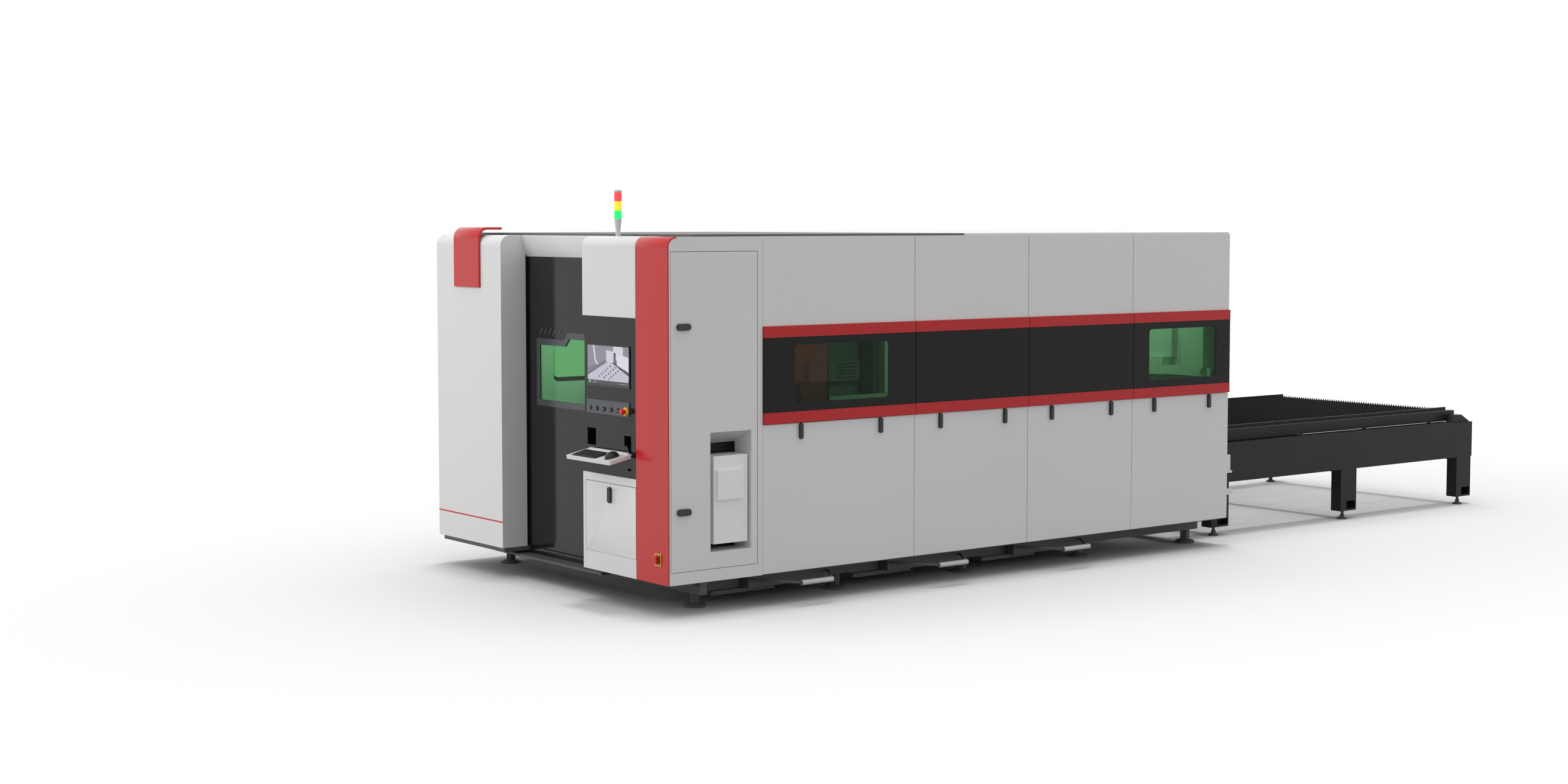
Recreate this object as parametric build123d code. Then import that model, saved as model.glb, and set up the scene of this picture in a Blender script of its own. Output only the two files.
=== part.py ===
from build123d import *
import os

# Driving dimensions in millimetres. X runs from the console end to the shuttle table,
# Y from the window side to the far side, and Z up from the floor.
SHELL_BOTTOM = 200
SHELL_TOP = 2250
SHELL_WIDTH = 2758
CABINET = 695  # length of the electrical cabinet
FIRST_BAY = 1213
BAY = 998
TABLE_END = 8363

SHEET = 3  # sheet steel of the folded covers
COVER = 30  # depth of a folded cover
SEAM = 4  # gap between two covers
TUBE = 50  # square tube of the enclosure's frame
LINER_SHEET = 4
LINER_MARGIN = 28  # dark edge round a far window, seen from inside

# Heights of the coloured band along the side
BAND_BOTTOM = 1114
BAND_TOP = 1707
STRIPE = 69
BAND_PROUD = 12
STRIPE_PROUD = 14
SIDE_WINDOWS = {0: (934, 1677), 3: (4060, 4751)}  # length of the pane in these bays
SIDE_WINDOW_Z = (1236, 1591)

# Widths across the front, from the window side
COLUMN_WIDTH = 337
CONSOLE_END = 922
PILLAR_START = 1906
FRONT_DEPTH = 188  # pillar and console in front of the sliding door
EDGE_RADIUS = 62  # rounded upper front edge of the column and the console
PILLAR_RADIUS = 70
COLUMN_SHEET = 10
COLUMN_DEPTH = 66  # where the cabinet's own top begins

# Heights on the console
BASE_TOP = 800
FASCIA_TOP = 1764
FASCIA_RECESS = 15
FASCIA_SHEET = 20
BUTTON_Z = 1199
BUTTON_YS = (852, 774, 695, 617, 538)
BUTTON_RADIUS = 14
ESTOP_Y = 452
ESTOP_STEM = 12
ESTOP_RADIUS = 18
COLLAR_RADIUS = 26
RUNNING_GAP = 0.4  # between a moving piece and the hole that it runs in

# Keyboard tray, hinged at its back edge and sloping down to the operator
TRAY_HINGE_X = 0
TRAY_HINGE_Z = 936
TRAY_Y = (380, 866)
TRAY_DEPTH = 162
TRAY_THICK = 22
TRAY_SLOPE = 12
TRAY_PIN = 4

# Sliding door
DOOR_X = (205, 245)
DOOR_Y = (900, 1930)
DOOR_Z = (204, 2178)
TRACK_Z = (156, 198)  # sill bar under the door
HANGER_SLOT = (215, 233)  # slot in the upper track, along X
HANGER_FLOOR = 2188  # height on which the hanger wheels run
WINDOW_LEFT = 1790
WINDOW_RIGHT = 1010
WINDOW_STEP = (1455, 1408)
WINDOW_LOW = 1140
WINDOW_TOPS = (1581, 1630)
WINDOW_RIM = 42

# Electrical cabinet door and its pocket
CABINET_DOOR_X = (23, 653)
CABINET_DOOR_Z = (276, 2160)
CABINET_DEPTH = COLUMN_WIDTH
DOOR_PAN = 25
POCKET_X = (305, 609)
POCKET_Z = (374, 1089)
POCKET_DEPTH = 171
POCKET_BACK_TOP = 1011
LATCH_LENGTH = 98
LATCH_WIDTH = 26
LATCH_STEM = 8
CABINET_LATCH_WIDTH = 40
CONSOLE_LATCH_WIDTH = 34
CABINET_HINGE = (646, 7)  # upright pivot pins of the cabinet door
HINGE_PIN = 3

# Machine bed, gantry and cutting head
BED_X = (1000, 4860)
BED_WALL_Y = (240, 340)
BED_BOTTOM = 100
BED_TOP = 980
RAIL_TOP = 1010
GANTRY_X = 1300
GANTRY_WIDTH = 220
GANTRY_Z = (1080, 1320)
CARRIAGE_Y = 640
NOZZLE_Z = 905
FOOT_PITCH = 1097
FIRST_FOOT = 392
FOOT_Y = 290

# Scrap drawers under the bed
DRAWER_PITCH = 1117
FIRST_DRAWER = 1031
DRAWER_WIDTH = 642
DRAWER_Y = (165, 1365)
DRAWER_Z = (95, 180)
GRIP_LENGTH = 242
GRIP_Y = -105
GRIP_Z = 146

# Shuttle table and its two pallets
BEAM_Y = (360, 455)
BEAM_Z = (395, 683)
LOWER_RAIL_Z = 480
UPPER_LEDGE = 50  # width of the rails beside the beams, upper and lower
LOWER_LEDGE = 90
LEG_X = (5148, 6660, 8160)
LEG_LENGTH = 191
LEG_BOTTOM = 66
PALLET_LENGTH = 3120
PALLET_END = 8255
PALLET_TRAVEL = 3585
PALLET_SIDE = 462
LOWER_PALLET_SIDE = 507
SLAT_COUNT = 46
SLAT_SHEET = 4

SEAMS = [CABINET, CABINET + FIRST_BAY] + [CABINET + FIRST_BAY + BAY * i for i in (1, 2, 3)]
REAR = SEAMS[-1]
BAYS = [(low + SEAM / 2, high - SEAM / 2) for low, high in zip(SEAMS, SEAMS[1:])]
POSTS = [CABINET + TUBE / 2 + 5] + SEAMS[1:-1] + [REAR - COVER - TUBE / 2]


def block(x, y, z):
    """Box between three (low, high) pairs."""
    sizes = [high - low for low, high in (x, y, z)]
    middles = [(high + low) / 2 for low, high in (x, y, z)]
    return Pos(*middles) * Box(*sizes)


def prism_x(points, x):
    """Outline of (y, z) points carried from x[0] to x[1]."""
    wire = Wire.make_polygon([(x[0], y, z) for y, z in points])
    return Solid.extrude(Face(wire), Vector(x[1] - x[0], 0, 0))


def prism_y(points, y):
    """Outline of (x, z) points carried from y[0] to y[1]."""
    wire = Wire.make_polygon([(x, y[0], z) for x, z in points])
    return Solid.extrude(Face(wire), Vector(0, y[1] - y[0], 0))


def rod(start, end, radius):
    """Round bar between two points."""
    run = Vector(*end) - Vector(*start)
    return Solid.make_cylinder(radius, run.length, Plane(start, z_dir=run))


def group(*pieces):
    """Separate solids that share one node."""
    return Compound([solid for piece in pieces for solid in piece.solids()])


def far_side(piece):
    """Mirror image on the other long side of the machine."""
    return mirror(piece, Plane.XZ.offset(-SHELL_WIDTH / 2))


def both_sides(piece):
    """A piece and its mirror image."""
    return group(piece, far_side(piece))


def cover(x, y, z, opens):
    """Folded sheet cover, a box of SHEET walls that is open on one side, such as +y."""
    ranges = {"x": x, "y": y, "z": z}
    inside = {axis: [low + SHEET, high - SHEET] for axis, (low, high) in ranges.items()}
    sign, axis = opens
    end = 1 if sign == "+" else 0
    inside[axis][end] = ranges[axis][end]
    return block(x, y, z) - block(*inside.values())


def rounded_front(x, y, z, radius):
    """Box whose upper front edge is rounded."""
    body = block(x, y, z)
    edge = min(body.edges().filter_by(Axis.Y), key=lambda e: e.center().X - e.center().Z)
    return fillet(edge, radius)


def rounded_plate(x, y, z, axis, radius):
    """Box whose edges along one axis are rounded."""
    body = block(x, y, z)
    return fillet(body.edges().filter_by(axis), radius)


def around(middle, length):
    """Range of a length about its middle."""
    return (middle - length / 2, middle + length / 2)


def enclosure_frame():
    """Square tubes that carry the covers, the roof and the front."""
    base_z = (SHELL_BOTTOM + SHEET, SHELL_BOTTOM + SHEET + TUBE)
    top_z = (SHELL_TOP - TUBE, SHELL_TOP)
    near_y = (COVER, COVER + TUBE)
    far_y = (SHELL_WIDTH - COVER - TUBE, SHELL_WIDTH - COVER)
    rear = REAR - COVER
    front_x = (250, 300)
    tubes = []
    for middle in POSTS:
        x = around(middle, TUBE)
        tubes.append(both_sides(block(x, near_y, (base_z[1], top_z[0]))))
        tubes.append(both_sides(block(x, (near_y[1], BED_WALL_Y[0]), base_z)))
    for middle in POSTS[1:]:
        tubes.append(block(around(middle, TUBE), (near_y[1], far_y[0]), top_z))
    for low, high in zip(POSTS, POSTS[1:]):
        x = (low + TUBE / 2, high - TUBE / 2)
        tubes.append(block(x, near_y, (BAND_BOTTOM + 10, BAND_BOTTOM + 10 + TUBE)))
    for z in (base_z, top_z):
        tubes.append(block((CABINET + 5, rear), near_y, z))
        tubes.append(block((front_x[1], rear), far_y, z))
    for bay in BAYS:
        sill = (SHELL_BOTTOM - 2, SHELL_BOTTOM + 2)
        tubes.append(block(bay, (4, COVER + TUBE), sill))
    tubes.append(block(front_x, (COVER, SHELL_WIDTH - COVER), (118, SHELL_BOTTOM)))
    tubes.append(block(front_x, (CABINET_DEPTH + 8, far_y[0]), top_z))
    slab_z = (172, SHELL_BOTTOM)
    tubes.append(block((110, front_x[0]), (60, CONSOLE_END - 27), slab_z))
    tubes.append(block((14, DOOR_X[0]), (PILLAR_START, SHELL_WIDTH - 44), slab_z))
    tubes.append(block((115, front_x[0]), (DOOR_Y[0], 2200), (TRACK_Z[0] - 16, TRACK_Z[0])))
    for bay in (1, 2):
        tubes.append(far_side(liner(bay)))
    return {"enclosure_frame": group(*tubes)}


def liner(bay):
    """Inner sheet behind the covers of one bay, open round its side window."""
    x = (POSTS[bay] + TUBE / 2, POSTS[bay + 1] - TUBE / 2)
    z = (SHELL_BOTTOM + SHEET + TUBE, SHELL_TOP - TUBE)
    sheet = block(x, (COVER, COVER + LINER_SHEET), z)
    if bay in SIDE_WINDOWS:
        low, high = SIDE_WINDOWS[bay]
        hole_x = (low - LINER_MARGIN, high + LINER_MARGIN)
        hole_y = (COVER - 1, COVER + LINER_SHEET + 1)
        hole_z = (SIDE_WINDOW_Z[0] - LINER_MARGIN, SIDE_WINDOW_Z[1] + LINER_MARGIN)
        sheet = sheet - rounded_plate(hole_x, hole_y, hole_z, Axis.Y, 40)
    return sheet


def machine_bed():
    """Welded bed with pallet rails inside, drawer guides below and levelling feet."""
    upper_rail = (BEAM_Z[1] - 20, BEAM_Z[1])
    lower_rail = (LOWER_RAIL_Z - 20, LOWER_RAIL_Z)
    inner = BED_WALL_Y[1]
    drawers = [around(FIRST_DRAWER + DRAWER_PITCH * i, DRAWER_WIDTH) for i in range(3)]
    pieces = [
        both_sides(block((CABINET + 5, BED_X[0]), BED_WALL_Y, (SHELL_BOTTOM, 320))),
        both_sides(block(BED_X, BED_WALL_Y, (SHELL_BOTTOM, BED_TOP))),
        both_sides(block((1400, BED_X[1]), (inner, BEAM_Y[1] + UPPER_LEDGE), upper_rail)),
        both_sides(block((1400, BED_X[1]), (inner, BEAM_Y[1] + LOWER_LEDGE), lower_rail)),
    ]
    feet = [FIRST_FOOT + FOOT_PITCH * i for i in range(5)]
    for middle in feet:
        pieces.append(block(around(middle, 100), (inner, SHELL_WIDTH - inner), (110, SHELL_BOTTOM)))
    base_starts = [300] + [drawer[1] + 10 for drawer in drawers]
    base_ends = [drawer[0] - 10 for drawer in drawers] + [BED_X[1]]
    for base_x in zip(base_starts, base_ends):
        pieces.append(both_sides(block(base_x, BED_WALL_Y, (BED_BOTTOM, SHELL_BOTTOM))))
    for left, right in drawers:
        guide_z = (DRAWER_Z[0] - 26, DRAWER_Z[0] - 1)
        pieces.append(block((left - 250, left + 235), (210, 700), guide_z))
        pieces.append(block((left - 250, left - 10), BED_WALL_Y, (guide_z[1], BED_BOTTOM)))
        pieces.append(block((right - 25, right + 55), BED_WALL_Y, guide_z))
        pieces.append(block((right + 10, right + 55), BED_WALL_Y, (guide_z[1], BED_BOTTOM)))
    rail_y = around(FOOT_Y, 40)
    rails = both_sides(block(BED_X, rail_y, (BED_TOP, RAIL_TOP)))
    return {
        "machine_bed": group(*pieces),
        "gantry_rails": rails,
        "levelling_feet": group(*[both_sides(bed_foot(x)) for x in feet], *table_feet()),
    }


def turned(outline, x, y):
    """Body turned about an upright axis from (radius, height) points."""
    wire = Wire.make_polygon([(radius, 0, z) for radius, z in outline])
    return Pos(x, y, 0) * Solid.revolve(Face(wire), 360, Axis.Z)


def bed_foot(x):
    """Round pad and hexagonal jack screw under the bed."""
    pad = turned([(0, 0), (70, 0), (70, 16), (45, 26), (0, 26)], x, FOOT_Y)
    nut = Pos(x, FOOT_Y, 26) * extrude(RegularPolygon(34, 6), BED_BOTTOM - 26)
    return pad + nut


def table_feet():
    """Slim screw feet under the legs of the shuttle table."""
    pad = [(0, 0), (38, 0), (38, 14), (17, 18)]
    screw = [(17, 40), (11, 40), (11, LEG_BOTTOM), (0, LEG_BOTTOM)]
    return [both_sides(turned(pad + screw, leg + 65, BEAM_Y[0] + 35)) for leg in LEG_X]


def front_housings():
    """Pillar with its bent ribbon, header over the door, and the door's tracks."""
    pillar_y = (PILLAR_START, SHELL_WIDTH)
    pillar = rounded_front((0, FRONT_DEPTH), pillar_y, (SHELL_BOTTOM, SHELL_TOP), PILLAR_RADIUS)
    ribbon_y = around((PILLAR_START + SHELL_WIDTH) / 2, 330)
    ribbon_top = SHELL_TOP + 51
    ribbon_sheet = 16
    ribbon_low = 1905
    outer = rounded_front((-ribbon_sheet, 165), ribbon_y, (ribbon_low, ribbon_top), PILLAR_RADIUS)
    hollow_z = (ribbon_low - 1, ribbon_top - ribbon_sheet)
    hollow = rounded_front((0, 166), ribbon_y, hollow_z, PILLAR_RADIUS - ribbon_sheet)
    header_y = (CONSOLE_END, PILLAR_START)
    curve = ThreePointArc((159, 0, SHELL_TOP), (169, 0, 2175), (198, 0, 2110))
    back = Polyline((198, 0, 2110), (198, 0, SHELL_TOP), (159, 0, SHELL_TOP))
    profile = Pos(0, header_y[0], 0) * Face(Wire([curve, *back.edges()]))
    header = Solid.extrude(profile, Vector(0, header_y[1] - header_y[0], 0))
    track_y = (DOOR_Y[0], SHELL_WIDTH - 46)
    wall = 4
    channel_x = (198, 250)
    channel_z = (HANGER_FLOOR - wall, SHELL_TOP - 10)
    channel = block(channel_x, track_y, channel_z)
    space_x = (channel_x[0] + wall, channel_x[1] - wall)
    channel = channel - block(space_x, track_y, (HANGER_FLOOR, channel_z[1] - wall))
    channel = channel - block(HANGER_SLOT, track_y, (channel_z[0] - 1, HANGER_FLOOR + 1))
    seal_x = (FRONT_DEPTH, FRONT_DEPTH + 8)
    seal_y = (PILLAR_START, PILLAR_START + 30)
    seal = block(seal_x, seal_y, (SHELL_BOTTOM, DOOR_Z[1]))
    tracks = group(block((DOOR_X[0], channel_x[1]), track_y, TRACK_Z), channel, seal)
    return {
        "front_pillar": pillar,
        "pillar_ribbon": outer - hollow,
        "door_header": header,
        "door_tracks": tracks,
    }


def window_outline(rim):
    """Outline of the door's window, pulled in by a rim on every side."""
    low_top, high_top = WINDOW_TOPS
    step_start, step_end = WINDOW_STEP
    slant = rim * 0.4
    return [
        (WINDOW_LEFT - rim, WINDOW_LOW + rim),
        (WINDOW_LEFT - rim, low_top - rim),
        (step_start - slant, low_top - rim),
        (step_end - slant, high_top - rim),
        (WINDOW_RIGHT + rim, high_top - rim),
        (WINDOW_RIGHT + rim, WINDOW_LOW + rim),
    ]


def sliding_door():
    """Front door with slanted vents, a raised window rim and laser glass."""
    skin = DOOR_X[0]
    leaf = cover(DOOR_X, DOOR_Y, DOOR_Z, "+x")
    opening = prism_x(window_outline(WINDOW_RIM), (skin - 1, skin + SHEET + 1))
    leaf = leaf - opening
    vent_low, vent_high, vent_pitch, vent_width, vent_lean = 1603, 1652, 56, 25, 40
    for i in range(5):
        y = WINDOW_LEFT - 10 - vent_pitch * i
        corners = [
            (y, vent_low),
            (y - vent_width, vent_low),
            (y - vent_width - vent_lean, vent_high),
            (y - vent_lean, vent_high),
        ]
        leaf = leaf - prism_x(corners, (skin - 1, skin + SHEET + 1))
    vent_y = (WINDOW_LEFT - vent_pitch * 5 - vent_lean, WINDOW_LEFT + 5)
    vent_screen = block((skin + SHEET, skin + SHEET + 2), vent_y, (vent_low - 8, vent_high + 8))
    leaf = leaf + vent_screen + hanger(DOOR_Y[0] + 160) + hanger(DOOR_Y[1] - 160)
    rim = prism_x(window_outline(0), (skin - 8, skin))
    rim = rim - prism_x(window_outline(WINDOW_RIM), (skin - 9, skin + 1))
    glass = prism_x(window_outline(WINDOW_RIM / 2), (skin + SHEET, skin + SHEET + 6))
    return {"sliding_door": leaf, "window_rim": rim, "door_glass": glass}


def hanger(y):
    """Plate on the door's top edge with two wheels that run in the upper track."""
    middle_x = sum(HANGER_SLOT) / 2
    radius = 17
    axle_z = HANGER_FLOOR + 0.3 + radius
    plate = block(around(middle_x, 6), around(y, 60), (DOOR_Z[1] - SHEET, axle_z + 11))
    reach = 20.5
    plate = plate + rod((middle_x - reach, y, axle_z), (middle_x + reach, y, axle_z), 5)
    for end in (middle_x - reach, middle_x + reach - 10):
        plate = plate + rod((end, y, axle_z), (end + 10, y, axle_z), radius)
    return plate


def console():
    """Operator's console between the door and the red corner column."""
    y = (COLUMN_WIDTH, CONSOLE_END)
    back = (FRONT_DEPTH - 6, FRONT_DEPTH)
    head = rounded_front((0, FRONT_DEPTH), y, (FASCIA_TOP, SHELL_TOP), EDGE_RADIUS)
    fascia_x = (FASCIA_RECESS, FASCIA_RECESS + FASCIA_SHEET)
    plate = block(fascia_x, (y[0], y[1] - 8), (BASE_TOP, FASCIA_TOP))
    screen_y = (416, 890)
    screen_z = (1335, 1592)
    plate = plate - block((0, 60), screen_y, screen_z)
    plate = plate - block((0, 60), (797, 893), (968, 1074))
    hook = [(484, 1052), (409, 1052), (409, 952), (432, 952), (455, 990), (484, 990)]
    plate = plate - prism_x(hook, (0, 60))
    plate = plate - block((0, 60), (411, 448), (842, 856))
    for button_y in BUTTON_YS:
        plate = plate - button_bar(button_y, BUTTON_RADIUS + RUNNING_GAP, (0, 60))
    plate = plate - button_bar(ESTOP_Y, ESTOP_STEM + RUNNING_GAP, (0, 60))
    for lug_y in ((TRAY_Y[0] - 20, TRAY_Y[0] - 1), (TRAY_Y[1] + 1, TRAY_Y[1] + 20)):
        lug_z = around(TRAY_HINGE_Z, 16)
        plate = plate + block((TRAY_HINGE_X - 8, FASCIA_RECESS), lug_y, lug_z)
    pins = [(TRAY_Y[0] - 20, TRAY_Y[0] + 18), (TRAY_Y[1] - 18, TRAY_Y[1] + 20)]
    for low, high in pins:
        start = (TRAY_HINGE_X, low, TRAY_HINGE_Z)
        end = (TRAY_HINGE_X, high, TRAY_HINGE_Z)
        plate = plate + rod(start, end, TRAY_PIN)
    side = block((FASCIA_RECESS, FRONT_DEPTH), (y[1] - 8, y[1]), (BASE_TOP, FASCIA_TOP))
    rear = block(back, (y[0], y[1] - 8), (BASE_TOP, FASCIA_TOP))
    screen = block((8, 60), screen_y, screen_z)
    picture_y = (screen_y[0] + 8, screen_y[1] - 8)
    screen = screen - block((7, 11), picture_y, (screen_z[0] + 14, screen_z[1] - 8))
    door_y = (y[0] + 4, 889)
    door_z = (316, 748)
    base = group(
        block((0, FRONT_DEPTH), (door_y[1] + 3, y[1]), (SHELL_BOTTOM, BASE_TOP)),
        block((0, FRONT_DEPTH), (y[0], door_y[1] + 3), (SHELL_BOTTOM, door_z[0] - 1)),
        block((0, FRONT_DEPTH), (y[0], door_y[1] + 3), (door_z[1] + 3, BASE_TOP)),
        block(back, (y[0], door_y[1] + 3), (door_z[0] - 1, door_z[1] + 3)),
    )
    latch_y = (door_y[0] + door_y[1]) / 2 + 3
    latch_z = door_z[1] - 36
    stem_hole = LATCH_STEM + RUNNING_GAP
    door = cover((0, DOOR_PAN), door_y, door_z, "+x")
    door = door - rod((-1, latch_y, latch_z), (SHEET + 1, latch_y, latch_z), stem_hole)
    paddle_y = around(latch_y, CONSOLE_LATCH_WIDTH)
    paddle_top = latch_z + CONSOLE_LATCH_WIDTH / 2
    paddle_z = (paddle_top - LATCH_LENGTH, paddle_top)
    paddle = rounded_plate((-16, -2), paddle_y, paddle_z, Axis.X, CONSOLE_LATCH_WIDTH / 2 - 1)
    latch = paddle + rod((-2, latch_y, latch_z), (12, latch_y, latch_z), LATCH_STEM)
    return {
        "console_head": head,
        "console_fascia": group(plate, side, rear),
        "monitor": screen,
        "console_base": base,
        "console_door": door,
        "console_latch": latch,
    }


def button_bar(y, radius, x):
    """Round bar along X at a button's place."""
    return rod((x[0], y, BUTTON_Z), (x[1], y, BUTTON_Z), radius)


def controls():
    """Button plate, push buttons, emergency stop and the main switch."""
    plate_x = (FASCIA_RECESS - 6, FASCIA_RECESS)
    plate = block(plate_x, (422, 888), (1167, 1252))
    nodes = {}
    for i, y in enumerate(BUTTON_YS, start=1):
        plate = plate - button_bar(y, BUTTON_RADIUS + RUNNING_GAP, (0, 60))
        nodes[f"button_{i}"] = button_bar(y, BUTTON_RADIUS, (plate_x[0] - 9, plate_x[0] + 12))
    plate = plate - button_bar(ESTOP_Y, ESTOP_STEM + RUNNING_GAP, (0, 60))
    collar = button_bar(ESTOP_Y, COLLAR_RADIUS, (plate_x[0] - 12, plate_x[0]))
    collar = collar - button_bar(ESTOP_Y, ESTOP_STEM + RUNNING_GAP, (-40, 60))
    head_x = (plate_x[0] - 46, plate_x[0] - 22)
    head = button_bar(ESTOP_Y, ESTOP_RADIUS, head_x)
    head = chamfer(head.edges().filter_by(GeomType.CIRCLE).sort_by(Axis.X)[0], 6)
    stop = head + button_bar(ESTOP_Y, ESTOP_STEM, (head_x[1], plate_x[1] + 10))
    switch_y = (69, 136)
    switch_z = (310, 382)
    switch_middle = (sum(switch_y) / 2, sum(switch_z) / 2)
    switch_plate = block((-3, 0), switch_y, switch_z)
    knob = rod((-11, *switch_middle), (-3, *switch_middle), 20)
    grip = block((-26, -11), around(switch_middle[0], 11), around(switch_middle[1], 40))
    nodes.update(
        button_plate=plate,
        estop_collar=collar,
        estop_button=stop,
        switch_plate=switch_plate,
        main_switch=knob + grip,
    )
    return nodes


def keyboard_tray():
    """Tilted tray on two hinge pins, with a keyboard and a mouse resting on it."""
    top = TRAY_THICK / 2
    back_edge = 4
    tray = block((-TRAY_DEPTH, back_edge), TRAY_Y, (-top, top))
    tray = fillet(tray.edges().filter_by(Axis.Z).sort_by(Axis.X)[0:2], 8)
    tray = tray + block((-8, back_edge), (TRAY_Y[0] + 30, TRAY_Y[1] - 30), (top, top + 8))
    pin_hole = rod((0, TRAY_Y[0] - 1, 0), (0, TRAY_Y[1] + 1, 0), TRAY_PIN + RUNNING_GAP)
    tray = tray - pin_hole
    keyboard_y = (560, 822)
    keys_x = (-TRAY_DEPTH + 14, -TRAY_DEPTH + 124)
    wedge = [(keys_x[0], top), (keys_x[1], top), (keys_x[1], top + 11), (keys_x[0], top + 7)]
    keyboard = prism_y(wedge, keyboard_y)
    mouse_x = (-140, -40)
    mouse_y = (428, 488)
    side = [
        (mouse_x[1], top),
        (mouse_x[0], top),
        (mouse_x[0], top + 12),
        (mouse_x[0] + 35, top + 36),
        (mouse_x[1] - 25, top + 36),
        (mouse_x[1], top + 12),
    ]
    mouse = rounded_plate(mouse_x, mouse_y, (top, top + 38), Axis.Z, 24) & prism_y(side, mouse_y)
    place = Pos(TRAY_HINGE_X, 0, TRAY_HINGE_Z) * Rot(0, -TRAY_SLOPE, 0)
    return {"keyboard_tray": place * tray, "keyboard": place * keyboard, "mouse": place * mouse}


def cabinet():
    """Electrical cabinet behind the red column, with its control gear and vented door."""
    y = (0, COLUMN_WIDTH)
    column_z = (SHELL_BOTTOM, SHELL_TOP)
    outer = rounded_front((0, COLUMN_DEPTH), y, column_z, EDGE_RADIUS)
    hollow_z = (SHELL_BOTTOM - 1, SHELL_TOP - COLUMN_SHEET)
    hollow_x = (COLUMN_SHEET, COLUMN_DEPTH + 1)
    hollow = rounded_front(hollow_x, y, hollow_z, EDGE_RADIUS - COLUMN_SHEET)
    column = outer - hollow
    x = (COLUMN_SHEET, CABINET)
    top = SHELL_TOP - COLUMN_SHEET
    hole_x = (CABINET_DOOR_X[0] - 3, CABINET_DOOR_X[1] + 5)
    hole_z = (CABINET_DOOR_Z[0] - 3, CABINET_DOOR_Z[1] + 3)
    flange = (0, DOOR_PAN)
    inner = (DOOR_PAN, CABINET_DEPTH - 6)
    head_flange = rounded_front(x, flange, (hole_z[1], top), EDGE_RADIUS - COLUMN_SHEET)
    frame = group(
        head_flange,
        block((COLUMN_DEPTH, x[1]), flange, (top, SHELL_TOP)),
        block((x[0], hole_x[0]), flange, (hole_z[0], hole_z[1])),
        block((hole_x[1], x[1]), flange, (hole_z[0], hole_z[1])),
        block(x, flange, (SHELL_BOTTOM, hole_z[0])),
        block((x[0], x[0] + 6), inner, (SHELL_BOTTOM, SHELL_TOP - EDGE_RADIUS)),
        block((x[1] - 6, x[1]), inner, (SHELL_BOTTOM, SHELL_TOP)),
        block((x[0] + 6, x[1] - 6), inner, (SHELL_BOTTOM, SHELL_BOTTOM + 6)),
        block((COLUMN_DEPTH, x[1] - 6), inner, (top - 6, top)),
        block((x[0] + 6, x[1]), (inner[1], CABINET_DEPTH), (SHELL_BOTTOM, top - 60)),
        hinge_pin((hole_z[0], hole_z[0] + 13), HINGE_PIN),
        hinge_pin((hole_z[1] - 13, hole_z[1]), HINGE_PIN),
    )
    nodes = {"corner_column": column, "cabinet_frame": frame, "control_gear": control_gear(inner[1])}
    nodes.update(cabinet_door())
    return nodes


def hinge_pin(z, radius):
    """Upright bar on the cabinet door's pivot line."""
    return rod((*CABINET_HINGE, z[0]), (*CABINET_HINGE, z[1]), radius)


def control_gear(back):
    """Mounting plate with drives, terminals and the laser source."""
    plate = block((40, 670), (back - 8, back), (300, 2120))
    front = back - 8
    pieces = [plate, block((60, 640), (front - 110, front), (320, 560))]
    for i in range(5):
        drive_x = (70 + 115 * i, 70 + 115 * i + 85)
        pieces.append(block(drive_x, (front - 110, front), (1250, 1520)))
    for i in range(3):
        row_z = (1640 + 140 * i, 1640 + 140 * i + 85)
        pieces.append(block((80, 630), (front - 60, front), row_z))
    return group(*pieces)


def cabinet_door():
    """Pan door with a hooded pocket that holds the cooling unit, and two swing latches."""
    leaf = cover(CABINET_DOOR_X, (0, DOOR_PAN), CABINET_DOOR_Z, "+y")
    walls = [
        (SHEET, POCKET_Z[0] - SHEET),
        (POCKET_DEPTH + SHEET, POCKET_Z[0] - SHEET),
        (POCKET_DEPTH + SHEET, POCKET_BACK_TOP + SHEET),
        (SHEET, POCKET_Z[1] + SHEET),
    ]
    space = [
        (-1, POCKET_Z[0]),
        (POCKET_DEPTH, POCKET_Z[0]),
        (POCKET_DEPTH, POCKET_BACK_TOP),
        (0, POCKET_Z[1]),
        (-1, POCKET_Z[1]),
    ]
    leaf = leaf + prism_x(walls, (POCKET_X[0] - SHEET, POCKET_X[1] + SHEET))
    leaf = leaf - prism_x(space, POCKET_X)
    unit = block((345, 597), (22, POCKET_DEPTH), (416, 943))
    unit = unit - block((340, 600), (21, 24), (494, 498))
    unit = unit + block((363, 554), (4, 22), (680, 858))
    nodes = {"air_conditioner": unit}
    pivot_x = 82
    for name, z in (("upper", 1721), ("lower", 629)):
        leaf = leaf - rod((pivot_x, -1, z), (pivot_x, SHEET + 1, z), LATCH_STEM + RUNNING_GAP)
        paddle_x = (pivot_x - 20, pivot_x - 20 + LATCH_LENGTH)
        paddle_z = around(z, CABINET_LATCH_WIDTH)
        paddle = rounded_plate(paddle_x, (-18, -2), paddle_z, Axis.Y, CABINET_LATCH_WIDTH / 2 - 2)
        stem = rod((pivot_x, -2, z), (pivot_x, 14, z), LATCH_STEM)
        nodes[f"cabinet_latch_{name}"] = paddle + stem
    for z in CABINET_DOOR_Z:
        leaf = leaf - hinge_pin(around(z, 10), HINGE_PIN + RUNNING_GAP)
    nodes["cabinet_door"] = leaf
    return nodes


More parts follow.
